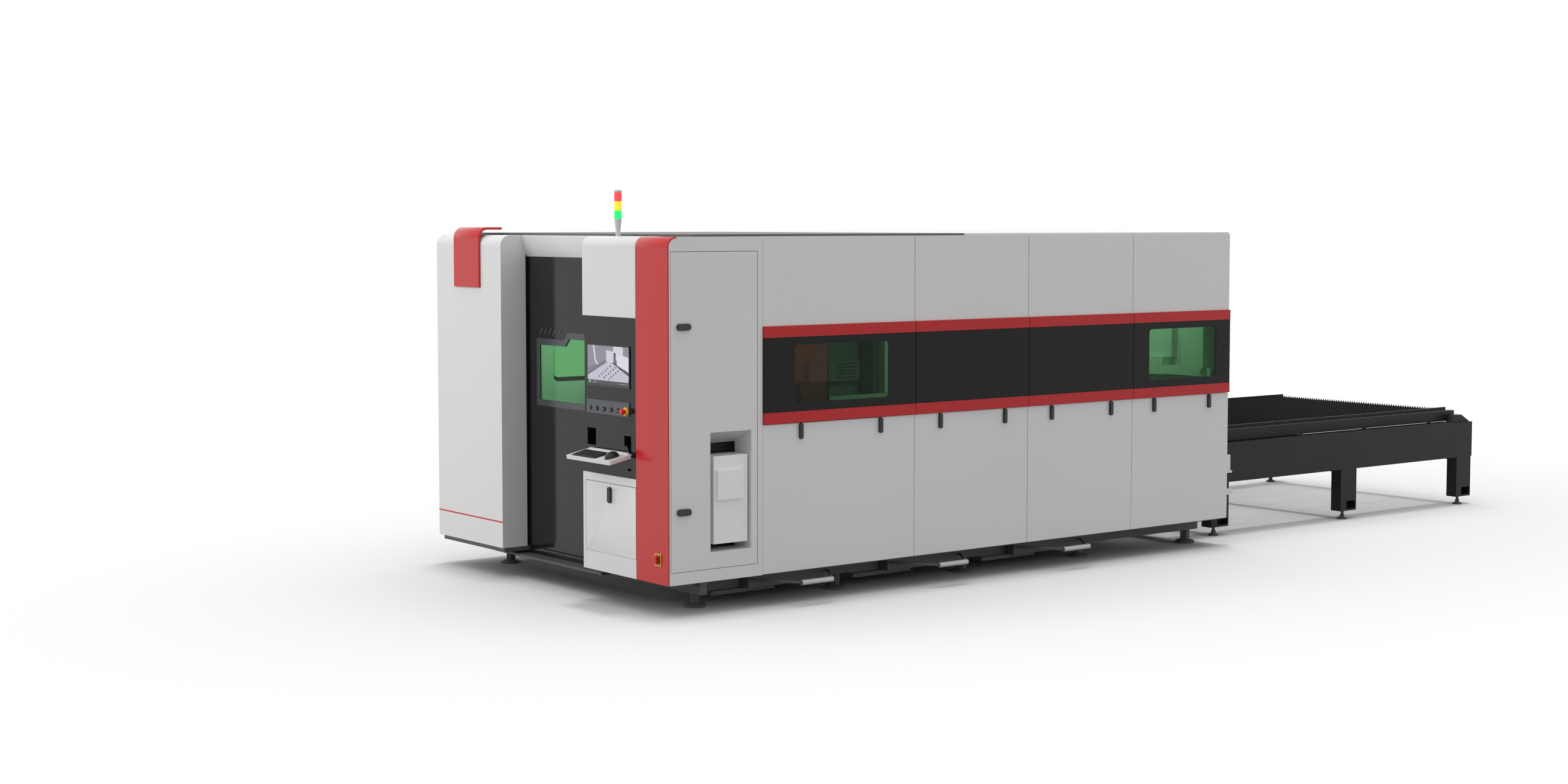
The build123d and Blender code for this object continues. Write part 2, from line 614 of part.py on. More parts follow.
def side_covers():
    """Upper covers, band with windows, and the four tilting lower panels."""
    band_z = (BAND_BOTTOM + STRIPE, BAND_TOP - STRIPE)
    uppers = [cover(bay, (0, COVER), (BAND_TOP, SHELL_TOP), "+y") for bay in BAYS]
    bands = []
    stripes = []
    glasses = []
    for i, bay in enumerate(BAYS):
        band = cover(bay, (-BAND_PROUD, COVER), band_z, "+y")
        if i in SIDE_WINDOWS:
            left, right = SIDE_WINDOWS[i]
            band = band - rounded_plate((left, right), (-20, COVER - 1), SIDE_WINDOW_Z, Axis.Y, 28)
            pane_x = (left - 15, right + 15)
            pane_z = (SIDE_WINDOW_Z[0] - 15, SIDE_WINDOW_Z[1] + 15)
            glasses.append(block(pane_x, (SHEET - BAND_PROUD, SHEET - BAND_PROUD + 6), pane_z))
        bands.append(band)
        for z in ((BAND_BOTTOM, band_z[0]), (band_z[1], BAND_TOP)):
            stripes.append(cover(bay, (-STRIPE_PROUD, COVER), z, "+y"))
    nodes = {
        "upper_covers": group(*uppers),
        "band_panels": both_sides(group(*bands)),
        "band_stripes": both_sides(group(*stripes)),
        "side_windows": both_sides(group(*glasses)),
    }
    latch_z = (BAND_BOTTOM - 4 - LATCH_LENGTH, BAND_BOTTOM - 4)
    for i, bay in enumerate(BAYS, start=1):
        panel = cover(bay, (0, COVER - 2), (SHELL_BOTTOM + 3, BAND_BOTTOM - 3), "+y")
        latch_inset = (286, 213)
        for latch_x in (bay[0] + latch_inset[i > 1], bay[1] - latch_inset[i > 1]):
            paddle_x = around(latch_x, LATCH_WIDTH)
            paddle = rounded_plate(paddle_x, (-16, 0), latch_z, Axis.Y, LATCH_WIDTH / 2 - 1)
            panel = panel + paddle
        nodes[f"lower_panel_{i}"] = panel
    return nodes


def rear_fittings():
    """Upright duct, beam with a round hole and covers inside the rear wall."""
    x = (REAR - 102, REAR - SHEET)
    top = SHELL_TOP - TUBE - 5
    beam_z = (1220, 1281)
    hole = (148, 1249)
    beam = block(x, (85, 545), beam_z)
    beam = beam - rod((x[0] - 1, *hole), (x[0] + 50, *hole), 36)
    duct = block(x, (155, 445), (beam_z[1], top))
    duct_edge = min(duct.edges().filter_by(Axis.Z), key=lambda e: e.center().X - e.center().Y)
    cover_y = (494, 900)
    cover_low = 1345
    tall_cover = block((x[0] + 40, x[1]), cover_y, (cover_low, top))
    low_cover = block(x, (545, cover_y[1]), (1213, cover_low))
    return [beam, fillet(duct_edge, 85), tall_cover, low_cover]


def far_and_rear():
    """Covers on the far side, rear wall round the pallet opening, and the roof."""
    first = (FRONT_DEPTH + 2, CABINET - SEAM / 2)
    far = [cover(first, (0, COVER), (SHELL_BOTTOM, SHELL_TOP), "+y")]
    far.extend(liner(bay) for bay in SIDE_WINDOWS)
    for bay in BAYS:
        for z in ((SHELL_BOTTOM, BAND_BOTTOM), (BAND_TOP, SHELL_TOP)):
            far.append(cover(bay, (0, COVER), z, "+y"))
    rear_x = (REAR - COVER, REAR)
    opening_y = (345, SHELL_WIDTH - 345)
    opening_top = 1000
    rear = [
        cover(rear_x, (COVER, SHELL_WIDTH - COVER), (opening_top, SHELL_TOP), "-x"),
        cover(rear_x, (COVER, opening_y[0]), (SHELL_BOTTOM + 3, opening_top), "-x"),
        cover(rear_x, (opening_y[1], SHELL_WIDTH - COVER), (SHELL_BOTTOM + 3, opening_top), "-x"),
        block((REAR, REAR + 38), (4, 74), (541, 656)),
        block((REAR, REAR + 58), (4, 84), (526, 541)),
        block((REAR, REAR + 60), (4, 49), (368, 408)),
    ]
    rear.extend(rear_fittings())
    roof_z = (SHELL_TOP, SHELL_TOP + 14)
    roof_y = (12, SHELL_WIDTH - 12)
    roof_joint = 2340
    roof = [
        block((FRONT_DEPTH + 2, roof_joint - 1), roof_y, roof_z),
        block((roof_joint + 1, REAR), roof_y, roof_z),
    ]
    return {
        "far_covers": far_side(group(*far)),
        "rear_wall": group(*rear),
        "roof_panels": group(*roof),
    }


def signal_tower():
    """Tapered mast, three lamp lenses and a cap on top of the console."""
    x, y = 100, 670
    radius = 24
    levels = (2353, 2406, 2461, 2516)
    cap_top = 2530
    foot = [(0, SHELL_TOP), (15, SHELL_TOP), (15, SHELL_TOP + 40), (22, levels[0]), (0, levels[0])]
    cap = [(0, levels[3]), (radius, levels[3]), (radius, cap_top - 5), (radius - 5, cap_top), (0, cap_top)]
    lamps = []
    for low, high in zip(levels, levels[1:]):
        lamps.append(rod((x, y, low), (x, y, high), radius))
    return {"tower_mast": group(turned(foot, x, y), turned(cap, x, y)), "tower_lamps": group(*lamps)}


def scrap_drawers():
    """Open trays under the bed, each with a bent pull handle and a round grip."""
    nodes = {}
    for i in range(3):
        middle = FIRST_DRAWER + DRAWER_PITCH * i
        tray = cover(around(middle, DRAWER_WIDTH), DRAWER_Y, DRAWER_Z, "+z")
        grip_x = around(middle, GRIP_LENGTH)
        root_x = around(middle, DRAWER_WIDTH - 30)
        for root, end in zip(root_x, grip_x):
            arm = rod((root, DRAWER_Y[0] + 1, GRIP_Z), (end, GRIP_Y, GRIP_Z), 8)
            tray = tray + arm
        tray = tray + rod((grip_x[0] - 6, GRIP_Y, GRIP_Z), (grip_x[1] + 6, GRIP_Y, GRIP_Z), 16)
        nodes[f"scrap_drawer_{i + 1}"] = tray
    return nodes


def gantry():
    """Bridge on the bed's rails, carriage across it, and the cutting head on its lift."""
    face = GANTRY_X - GANTRY_WIDTH / 2
    wall_y = (BED_WALL_Y[0] + 5, BED_WALL_Y[1] - 5)
    span_y = (wall_y[0], SHELL_WIDTH - wall_y[0])
    low, high = GANTRY_Z
    lean = 40
    section = [
        (face, low),
        (face + GANTRY_WIDTH, low),
        (face + GANTRY_WIDTH, high - lean),
        (face + GANTRY_WIDTH - lean, high),
        (face, high),
    ]
    truck_x = around(GANTRY_X, 360)
    trucks = both_sides(block(truck_x, wall_y, (RAIL_TOP + 0.3, low)))
    bridge = prism_y(section, span_y) + trucks
    for guide_z in ((low + 30, low + 50), (high - 50, high - 30)):
        bridge = bridge + block((face - 15, face), span_y, guide_z)
    carriage_x = (face - 55, face - 15.3)
    carriage = block(carriage_x, around(CARRIAGE_Y, 220), (low - 40, high + 90))
    motor = block((face - 55, face + 45), around(CARRIAGE_Y, 120), (high + 10, high + 90))
    carriage = carriage + motor
    lift_x = (carriage_x[0] - 30, carriage_x[0] - 0.3)
    lift = block(lift_x, around(CARRIAGE_Y, 140), (NOZZLE_Z + 90, high + 60))
    head_x = lift_x[0] - 50
    body = [
        (0, NOZZLE_Z),
        (5, NOZZLE_Z),
        (14, NOZZLE_Z + 22),
        (14, NOZZLE_Z + 40),
        (40, NOZZLE_Z + 95),
        (40, NOZZLE_Z + 300),
        (26, NOZZLE_Z + 330),
        (26, NOZZLE_Z + 420),
        (0, NOZZLE_Z + 420),
    ]
    head = turned(body, head_x, CARRIAGE_Y)
    head = head + block((head_x, lift_x[0]), around(CARRIAGE_Y, 70), (NOZZLE_Z + 130, NOZZLE_Z + 270))
    return {
        "gantry_bridge": bridge,
        "head_carriage": carriage,
        "head_lift": lift,
        "cutting_head": head,
    }


def shuttle_table():
    """Two long beams on six legs, with end stops and the lower pallet's rails."""
    start = BED_X[1] + 2
    beam = block((start, TABLE_END), BEAM_Y, BEAM_Z)
    ledges = []
    for top, width in ((BEAM_Z[1], UPPER_LEDGE), (LOWER_RAIL_Z, LOWER_LEDGE)):
        ledge_y = (BEAM_Y[1], BEAM_Y[1] + width)
        ledges.append(block((start, TABLE_END - 60), ledge_y, (top - 20, top)))
    stop = [
        (TABLE_END - 252, BEAM_Z[1]),
        (TABLE_END - 4, BEAM_Z[1]),
        (TABLE_END - 115, BEAM_Z[1] + 61),
        (TABLE_END - 201, BEAM_Z[1] + 61),
    ]
    stop_y = (BEAM_Y[0] + 25, BEAM_Y[1] - 15)
    pieces = [both_sides(beam), both_sides(group(*ledges)), both_sides(prism_y(stop, stop_y))]
    for leg_x in LEG_X:
        x = (leg_x, leg_x + LEG_LENGTH)
        leg = block(x, BEAM_Y, (LEG_BOTTOM, BEAM_Z[0]))
        hand_hole = block((x[1] - 122, x[1] - 12), (BEAM_Y[0] - 1, BEAM_Y[0] + 60), (80, 142))
        pieces.append(both_sides(leg - hand_hole))
        gusset = [(x[0], BEAM_Z[0] - 22), (x[0], BEAM_Z[0]), (x[0] - 130, BEAM_Z[0])]
        pieces.append(both_sides(prism_y(gusset, (BEAM_Y[1] - 12, BEAM_Y[1]))))
        tie_x = around(leg_x + LEG_LENGTH / 2, 80)
        pieces.append(block(tie_x, (BEAM_Y[1], SHELL_WIDTH - BEAM_Y[1]), (BEAM_Z[0], BEAM_Z[0] + 55)))
    return {"table_frame": group(*pieces)}


def slat(x, y, z, teeth):
    """Sheet slat on edge, with a row of points along its top."""
    tooth = (y[1] - y[0]) / teeth
    valley = z[1] - 26
    outline = [(y[0], z[0]), (y[0], valley)]
    for i in range(teeth):
        outline.append((y[0] + tooth * (i + 0.5), z[1]))
        outline.append((y[0] + tooth * (i + 1), valley))
    outline.append((y[1], z[0]))
    return prism_x(outline, (x, x + SLAT_SHEET))


def pallet(end, side, rail_z, teeth):
    """Shuttle pallet: side angles on wheels, slat rails, end bars and toothed slats."""
    start = end - PALLET_LENGTH
    web = 6
    top = rail_z + 92
    bars_z = (rail_z + 7, rail_z + 29)
    rail_y = (side + 58, side + 70)
    section = [
        (side, rail_z + 8),
        (side + web, rail_z + 8),
        (side + web, top - web),
        (rail_y[0], top - web),
        (rail_y[0], top),
        (side, top),
    ]
    angle = prism_x(section, (start, end))
    wheel_radius = 25
    wheel_z = rail_z + 0.3 + wheel_radius
    for i in range(4):
        wheel_x = start + 260 + i * 850
        angle = angle + rod((wheel_x, side + web, wheel_z), (wheel_x, side + 12, wheel_z), 10)
        angle = angle + rod((wheel_x, side + 12, wheel_z), (wheel_x, side + 35, wheel_z), wheel_radius)
    pieces = [both_sides(angle)]
    joints = [start + 32, end - 2186, end - 1101, end - 32]
    for low, high in zip(joints, joints[1:]):
        pieces.append(both_sides(block((low, high - SEAM), rail_y, (bars_z[1], rail_z + 117))))
    inside_y = (rail_y[1], SHELL_WIDTH - rail_y[1])
    for bar_x in ((start + 32, start + 72), (end - 72, end - 32 - SEAM)):
        pieces.append(block(bar_x, inside_y, (bars_z[0], top)))
    for part in (0.25, 0.5, 0.75):
        bar_y = around(inside_y[0] + (inside_y[1] - inside_y[0]) * part, 12)
        pieces.append(block((start + 72, end - 72), bar_y, bars_z))
    pitch = (PALLET_LENGTH - 240) / (SLAT_COUNT - 1)
    for i in range(SLAT_COUNT):
        x = start + 120 + pitch * i - SLAT_SHEET / 2
        pieces.append(slat(x, inside_y, (bars_z[1], rail_z + 114), teeth))
    return group(*pieces)


def pallets():
    """Upper pallet out on the table and lower pallet inside the enclosure."""
    return {
        "pallet_upper": pallet(PALLET_END, PALLET_SIDE, BEAM_Z[1], 16),
        "pallet_lower": pallet(PALLET_END - PALLET_TRAVEL, LOWER_PALLET_SIDE, LOWER_RAIL_Z, 5),
    }


def main():
    """Builds every node, puts the origin under the middle of the machine and writes the files."""
    nodes = {}
    for build in (
        enclosure_frame,
        machine_bed,
        front_housings,
        sliding_door,
        console,
        controls,
        keyboard_tray,
        cabinet,
        side_covers,
        far_and_rear,
        signal_tower,
        scrap_drawers,
        gantry,
        shuttle_table,
        pallets,
    ):
        nodes.update(build())
    box = Compound([solid for shape in nodes.values() for solid in shape.solids()]).bounding_box()
    middle = box.center()
    to_origin = Pos(-middle.X, -middle.Y, -box.min.Z)
    os.makedirs("parts", exist_ok=True)
    for name, shape in nodes.items():
        export_step(to_origin * shape, f"parts/{name}.step")
    print(f"{len(nodes)} nodes, moved by {-middle.X:.3f} {-middle.Y:.3f} {-box.min.Z:.3f}")


main()
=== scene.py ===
"""Dresses the laser cutting machine: paints, glass, fittings, slats, studio light and camera."""

import logging
import math
from dataclasses import dataclass
from enum import Enum
from typing import Protocol

import bmesh
import bpy
from mathutils import Matrix, Vector

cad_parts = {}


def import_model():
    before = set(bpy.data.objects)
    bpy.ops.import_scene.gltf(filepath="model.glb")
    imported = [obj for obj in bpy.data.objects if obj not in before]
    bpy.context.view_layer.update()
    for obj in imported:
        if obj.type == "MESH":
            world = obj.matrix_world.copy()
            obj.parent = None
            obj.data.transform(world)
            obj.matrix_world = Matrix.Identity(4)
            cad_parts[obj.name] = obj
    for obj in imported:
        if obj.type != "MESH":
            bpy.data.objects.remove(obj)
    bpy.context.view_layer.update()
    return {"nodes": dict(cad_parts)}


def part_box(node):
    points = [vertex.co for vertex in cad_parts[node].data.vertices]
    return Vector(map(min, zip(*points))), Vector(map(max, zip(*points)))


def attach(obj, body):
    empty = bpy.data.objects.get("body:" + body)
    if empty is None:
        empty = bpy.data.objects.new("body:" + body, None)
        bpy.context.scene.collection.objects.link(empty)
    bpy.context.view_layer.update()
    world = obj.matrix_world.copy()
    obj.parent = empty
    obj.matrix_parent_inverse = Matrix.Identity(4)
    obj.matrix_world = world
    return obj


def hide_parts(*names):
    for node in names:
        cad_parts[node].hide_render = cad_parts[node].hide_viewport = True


LOG = logging.getLogger("machine")
FULL_TURN = 2 * math.pi
SHARP = math.radians(35)


def linear(colour: str) -> tuple[float, float, float, float]:
    """Turns an sRGB hex colour into linear light.

    Args:
        colour: A colour such as "#C04E4E".

    Returns:
        Red, green, blue and full alpha.
    """
    channels = [int(colour[i : i + 2], 16) / 255 for i in (1, 3, 5)]
    light = [c / 12.92 if c <= 0.04045 else ((c + 0.055) / 1.055) ** 2.4 for c in channels]
    return (*light, 1.0)


def per_metre(size_mm: float) -> float:
    """Texture scale whose features are about size_mm across."""
    return 1000 / size_mm


def add_node(
    tree: bpy.types.NodeTree, kind: str, inputs: dict | None = None, **settings: object
) -> bpy.types.Node:
    """Adds one shader node with its settings and links.

    Args:
        tree: Node tree that takes the node.
        kind: Blender's name of the node type, without the ShaderNode that it starts with.
        inputs: Socket names or numbers, each with a value or an output socket to link.
        **settings: Attribute names with their values.

    Returns:
        The new node.
    """
    node = tree.nodes.new(f"ShaderNode{kind}")
    for name, value in settings.items():
        setattr(node, name, value)
    for socket, value in (inputs or {}).items():
        if isinstance(value, bpy.types.NodeSocket):
            tree.links.new(value, node.inputs[socket])
        else:
            node.inputs[socket].default_value = value
    return node


class Finish(Protocol):
    """Anything that can make a material."""

    def material(self) -> bpy.types.Material:
        """Returns the finish's material."""


class Surface:
    """A material with one Principled shader, to which a finish adds its patterns."""

    def __init__(self, name: str) -> None:
        """Starts the material with object coordinates."""
        self.material = bpy.data.materials.new(name)
        self.material.use_nodes = True
        self.tree = self.material.node_tree
        self.tree.nodes.clear()
        self.place = add_node(self.tree, "TexCoord").outputs["Object"]

    def close(self, colour: object, roughness: object, **others: object) -> bpy.types.Material:
        """Adds the shader.

        Args:
            colour: Base colour, as a value or an output socket.
            roughness: Roughness, as a value or an output socket.
            **others: The shader's other inputs, whose names have underscores for spaces.

        Returns:
            The finished material.
        """
        inputs = {"Base Color": colour, "Roughness": roughness}
        inputs.update({name.replace("_", " "): value for name, value in others.items()})
        shader = add_node(self.tree, "BsdfPrincipled", inputs)
        add_node(self.tree, "OutputMaterial", {"Surface": shader.outputs["BSDF"]})
        return self.material


@dataclass(frozen=True)
class PowderCoat:
    """Polyester powder baked on folded sheet steel.

    It gives an even colour with a soft gloss and a faint orange peel. The peel of about 1 mm is drawn
    coarser, because it would not show in the render, and wide sheets bend the reflections a little.
    """

    name: str
    colour: str
    shade: str
    roughness: float = 0.26
    peel_mm: float = 7.0
    peel: float = 0.035
    wave_mm: float = 900.0
    gloss: float = 0.5

    def material(self) -> bpy.types.Material:
        """Builds the paint's nodes and returns the material."""
        surface = Surface(self.name)
        tree, place = surface.tree, surface.place
        fine = {"Vector": place, "Scale": per_metre(self.peel_mm), "Detail": 2.0}
        peel = add_node(tree, "TexNoise", fine).outputs["Fac"]
        wide = {"Vector": place, "Scale": per_metre(self.wave_mm), "Detail": 1.0}
        wave = add_node(tree, "TexNoise", wide).outputs["Fac"]
        sheet = add_node(tree, "Bump", {"Height": wave, "Strength": 0.05, "Distance": 0.02})
        pits = {"Height": peel, "Strength": self.peel, "Distance": 0.002, "Normal": sheet.outputs["Normal"]}
        skin = add_node(tree, "Bump", pits)
        colours = {0: wave, 6: linear(self.colour), 7: linear(self.shade)}
        tone = add_node(tree, "Mix", colours, data_type="RGBA")
        levels = {"Value": peel, "To Min": self.roughness - 0.04, "To Max": self.roughness + 0.04}
        gloss = add_node(tree, "MapRange", levels)
        return surface.close(
            tone.outputs[2], gloss.outputs[0], Normal=skin.outputs[0], Specular_IOR_Level=self.gloss
        )


@dataclass(frozen=True)
class MachineEnamel:
    """Air-dried enamel sprayed on welded steel plate and tube.

    It gives a dull black with a slightly grainy skin and a film of grey dust on faces that look up.
    """

    name: str
    colour: str
    dust: str
    roughness: float = 0.42
    dust_cover: float = 0.35
    grain_mm: float = 11.0
    patch_mm: float = 260.0
    gloss: float = 0.25

    def material(self) -> bpy.types.Material:
        """Builds the enamel's nodes and returns the material."""
        surface = Surface(self.name)
        tree, place = surface.tree, surface.place
        fine = {"Vector": place, "Scale": per_metre(self.grain_mm), "Detail": 4.0}
        grain = add_node(tree, "TexNoise", fine).outputs["Fac"]
        skin = add_node(tree, "Bump", {"Height": grain, "Strength": 0.07, "Distance": 0.003})
        facing = add_node(tree, "NewGeometry").outputs["Normal"]
        parts = add_node(tree, "SeparateXYZ", {"Vector": facing})
        wide = {"Vector": place, "Scale": per_metre(self.patch_mm), "Detail": 5.0}
        patches = add_node(tree, "TexNoise", wide).outputs["Fac"]
        slope = {"Value": parts.outputs["Z"], "From Min": 0.55, "To Max": self.dust_cover}
        upward = add_node(tree, "MapRange", slope)
        cover = add_node(tree, "Math", {0: upward.outputs[0], 1: patches}, operation="MULTIPLY")
        colours = {0: cover.outputs[0], 6: linear(self.colour), 7: linear(self.dust)}
        tone = add_node(tree, "Mix", colours, data_type="RGBA")
        levels = {"Value": patches, "To Min": self.roughness - 0.08, "To Max": self.roughness + 0.1}
        gloss = add_node(tree, "MapRange", levels)
        return surface.close(
            tone.outputs[2], gloss.outputs[0], Normal=skin.outputs[0], Specular_IOR_Level=self.gloss
        )


@dataclass(frozen=True)
class SafetyAcrylic:
    """Cast acrylic dyed to stop laser light: clear to look through, with a skin coated against glare."""

    name: str
    colour: str
    swirl_mm: float = 400.0
    glare: float = 1.2

    def material(self) -> bpy.types.Material:
        """Builds the dyed pane and returns the material."""
        surface = Surface(self.name)
        wide = {"Vector": surface.place, "Scale": per_metre(self.swirl_mm), "Detail": 2.0}
        swirl = add_node(surface.tree, "TexNoise", wide).outputs["Fac"]
        polish = add_node(surface.tree, "MapRange", {"Value": swirl, "To Min": 0.01, "To Max": 0.05})
        return surface.close(
            linear(self.colour), polish.outputs[0], IOR=self.glare, Transmission_Weight=1.0
        )


@dataclass(frozen=True)
class Moulding:
    """Injection-moulded plastic with the fine spark-eroded grain of its tool."""

    name: str
    colour: str
    roughness: float = 0.45
    grain_mm: float = 1.6
    grain: float = 0.12

    def material(self) -> bpy.types.Material:
        """Builds the grained plastic and returns the material."""
        surface = Surface(self.name)
        tree = surface.tree
        fine = {"Vector": surface.place, "Scale": per_metre(self.grain_mm), "Detail": 3.0}
        grain = add_node(tree, "TexNoise", fine).outputs["Fac"]
        skin = add_node(tree, "Bump", {"Height": grain, "Strength": self.grain, "Distance": 0.0006})
        base = linear(self.colour)
        paler = tuple(min(1.0, channel * 1.25 + 0.004) for channel in base[:3]) + (1.0,)
        tone = add_node(tree, "Mix", {0: grain, 6: base, 7: paler}, data_type="RGBA")
        return surface.close(tone.outputs[2], self.roughness, Normal=skin.outputs[0])


@dataclass(frozen=True)
class WorkedMetal:
    """Bare metal with the fine lines of the belt or lathe that worked it."""

    name: str
    colour: str
    roughness: float
    line_mm: float = 1.5
    along: tuple[float, float, float] = (0.02, 1.0, 1.0)

    def material(self) -> bpy.types.Material:
        """Builds the lined metal and returns the material."""
        surface = Surface(self.name)
        tree = surface.tree
        stretch = add_node(tree, "Mapping", {"Vector": surface.place, "Scale": self.along})
        fine = {"Vector": stretch.outputs[0], "Scale": per_metre(self.line_mm), "Detail": 3.0}
        lines = add_node(tree, "TexNoise", fine).outputs["Fac"]
        levels = {"Value": lines, "To Min": self.roughness - 0.07, "To Max": self.roughness + 0.1}
        gloss = add_node(tree, "MapRange", levels)
        skin = add_node(tree, "Bump", {"Height": lines, "Strength": 0.08, "Distance": 0.0005})
        return surface.close(linear(self.colour), gloss.outputs[0], Metallic=1.0, Normal=skin.outputs[0])


@dataclass(frozen=True)
class LitLens:
    """Polycarbonate lens with a lamp behind it, brightest between its moulded ribs."""

    name: str
    colour: str
    glow: float
    rib_mm: float = 6.0

    def material(self) -> bpy.types.Material:
        """Builds the glowing lens and returns the material."""
        surface = Surface(self.name)
        tree = surface.tree
        bands = {"Vector": surface.place, "Scale": per_metre(self.rib_mm) / 20, "Distortion": 0.0}
        ribs = add_node(tree, "TexWave", bands, bands_direction="Z").outputs["Fac"]
        levels = {"Value": ribs, "To Min": self.glow * 0.8, "To Max": self.glow}
        light = add_node(tree, "MapRange", levels).outputs[0]
        lit = linear(self.colour)
        return surface.close(lit, 0.16, Emission_Color=lit, Emission_Strength=light)


@dataclass(frozen=True)
class ScreenTint:
    """A field of the backlit screen: its own light with a fine pixel grid over it."""

    name: str
    colour: str
    glow: float = 0.85
    pixel_mm: float = 2.0

    def material(self) -> bpy.types.Material:
        """Builds the glowing field and returns the material."""
        surface = Surface(self.name)
        tree = surface.tree
        fine = {"Vector": surface.place, "Scale": per_metre(self.pixel_mm), "Detail": 1.0}
        grid = add_node(tree, "TexNoise", fine).outputs["Fac"]
        levels = {"Value": grid, "To Min": self.glow * 0.86, "To Max": self.glow}
        light = add_node(tree, "MapRange", levels).outputs[0]
        dark = (0.01, 0.01, 0.01, 1.0)
        return surface.close(dark, 0.12, Emission_Color=linear(self.colour), Emission_Strength=light)


class Paint(Enum):
    """Every finish of the machine."""

    WHITE = PowderCoat("white_powder_coat", "#DEDEDE", "#DADADA")
    UNIT = PowderCoat("unit_powder_coat", "#F2F2F2", "#EEEEEE", roughness=0.35)
    RED = PowderCoat("red_powder_coat", "#C42224", "#C02022", roughness=0.2)
    STRIPE = PowderCoat("stripe_powder_coat", "#BE2226", "#BA2024", roughness=0.3, gloss=0.3)
    BAND = PowderCoat("black_powder_coat", "#191919", "#161616", roughness=0.3, gloss=0.16)
    CHARCOAL = PowderCoat(
        "charcoal_powder_coat", "#1C1C1C", "#1A1A1A", roughness=0.1, peel=0.015, gloss=0.31
    )
    SLATE = PowderCoat("slate_powder_coat", "#3C4045", "#383C41", roughness=0.22)
    PLATE = PowderCoat("plate_powder_coat", "#484C51", "#44484D", roughness=0.22)
    ROOF = PowderCoat("roof_powder_coat", "#565656", "#525252", roughness=0.4)
    DARK_FRAME = MachineEnamel("frame_enamel", "#565656", "#6A6864", dust_cover=0.2)
    TABLE = MachineEnamel("table_enamel", "#1F1F1F", "#4C4A46", dust_cover=0.25, gloss=0.2)
    SLATS = MachineEnamel("slat_scale", "#121212", "#2A2826", roughness=0.5)
    GREEN_GLASS = SafetyAcrylic("green_safety_acrylic", "#7CC488")
    PALE_GLASS = SafetyAcrylic("pale_safety_acrylic", "#BED2BE")
    AMBER_GLASS = SafetyAcrylic("amber_safety_acrylic", "#D2A880")
    BLACK_PLASTIC = Moulding("black_moulding", "#1A1A1C")
    KEY_PLASTIC = Moulding("key_moulding", "#1E1F21", roughness=0.5)
    GREY_PLASTIC = Moulding("grey_moulding", "#B9B9B9", roughness=0.4)
    BEZEL = Moulding("bezel_moulding", "#1B1C1E", roughness=0.2, grain=0.04)
    # Darker copy of the red moulding, for painted shade on the main switch's disc.
    SHADED_RED = Moulding("shaded_red_moulding", "#6E0A08", roughness=0.3, grain=0.05)
    RED_PLASTIC = Moulding("red_moulding", "#D8232A", roughness=0.25, grain=0.05)
    YELLOW_PLASTIC = Moulding("yellow_moulding", "#E8B71C", roughness=0.3, grain=0.05)
    OLIVE_PLASTIC = Moulding("olive_moulding", "#6E5A10", roughness=0.35, grain=0.05)
    BRIGHT_STEEL = WorkedMetal("bright_steel", "#A9ABAD", 0.34)
    GROUND_STEEL = WorkedMetal("ground_steel", "#9A9DA0", 0.3)
    ALUMINIUM = WorkedMetal("anodised_aluminium", "#C4C6C9", 0.34, along=(1.0, 1.0, 0.02))
    LAMP_RED = LitLens("red_lens", "#F5444B", 0.55)
    LAMP_AMBER = LitLens("amber_lens", "#FFD630", 0.6)
    LAMP_GREEN = LitLens("green_lens", "#08F070", 0.6)

    def material(self) -> bpy.types.Material:
        """Returns the finish's material, built at its first use."""
        made = bpy.data.materials.get(self.value.name)
        return made or self.value.material()


class Facing(Enum):
    """Sides of the machine on which fittings are drawn: x to the right, y up and z outwards."""

    FRONT = (-1.0, 0.0, 0.0)
    SIDE = (0.0, -1.0, 0.0)

    def at(self, origin: Vector) -> Matrix:
        """Drawing plane of this side, with its origin at a point of the machine."""
        outward = Vector(self.value)
        up = Vector((0.0, 0.0, 1.0))
        plane = Matrix((up.cross(outward), up, outward)).transposed().to_4x4()
        plane.translation = origin
        return plane


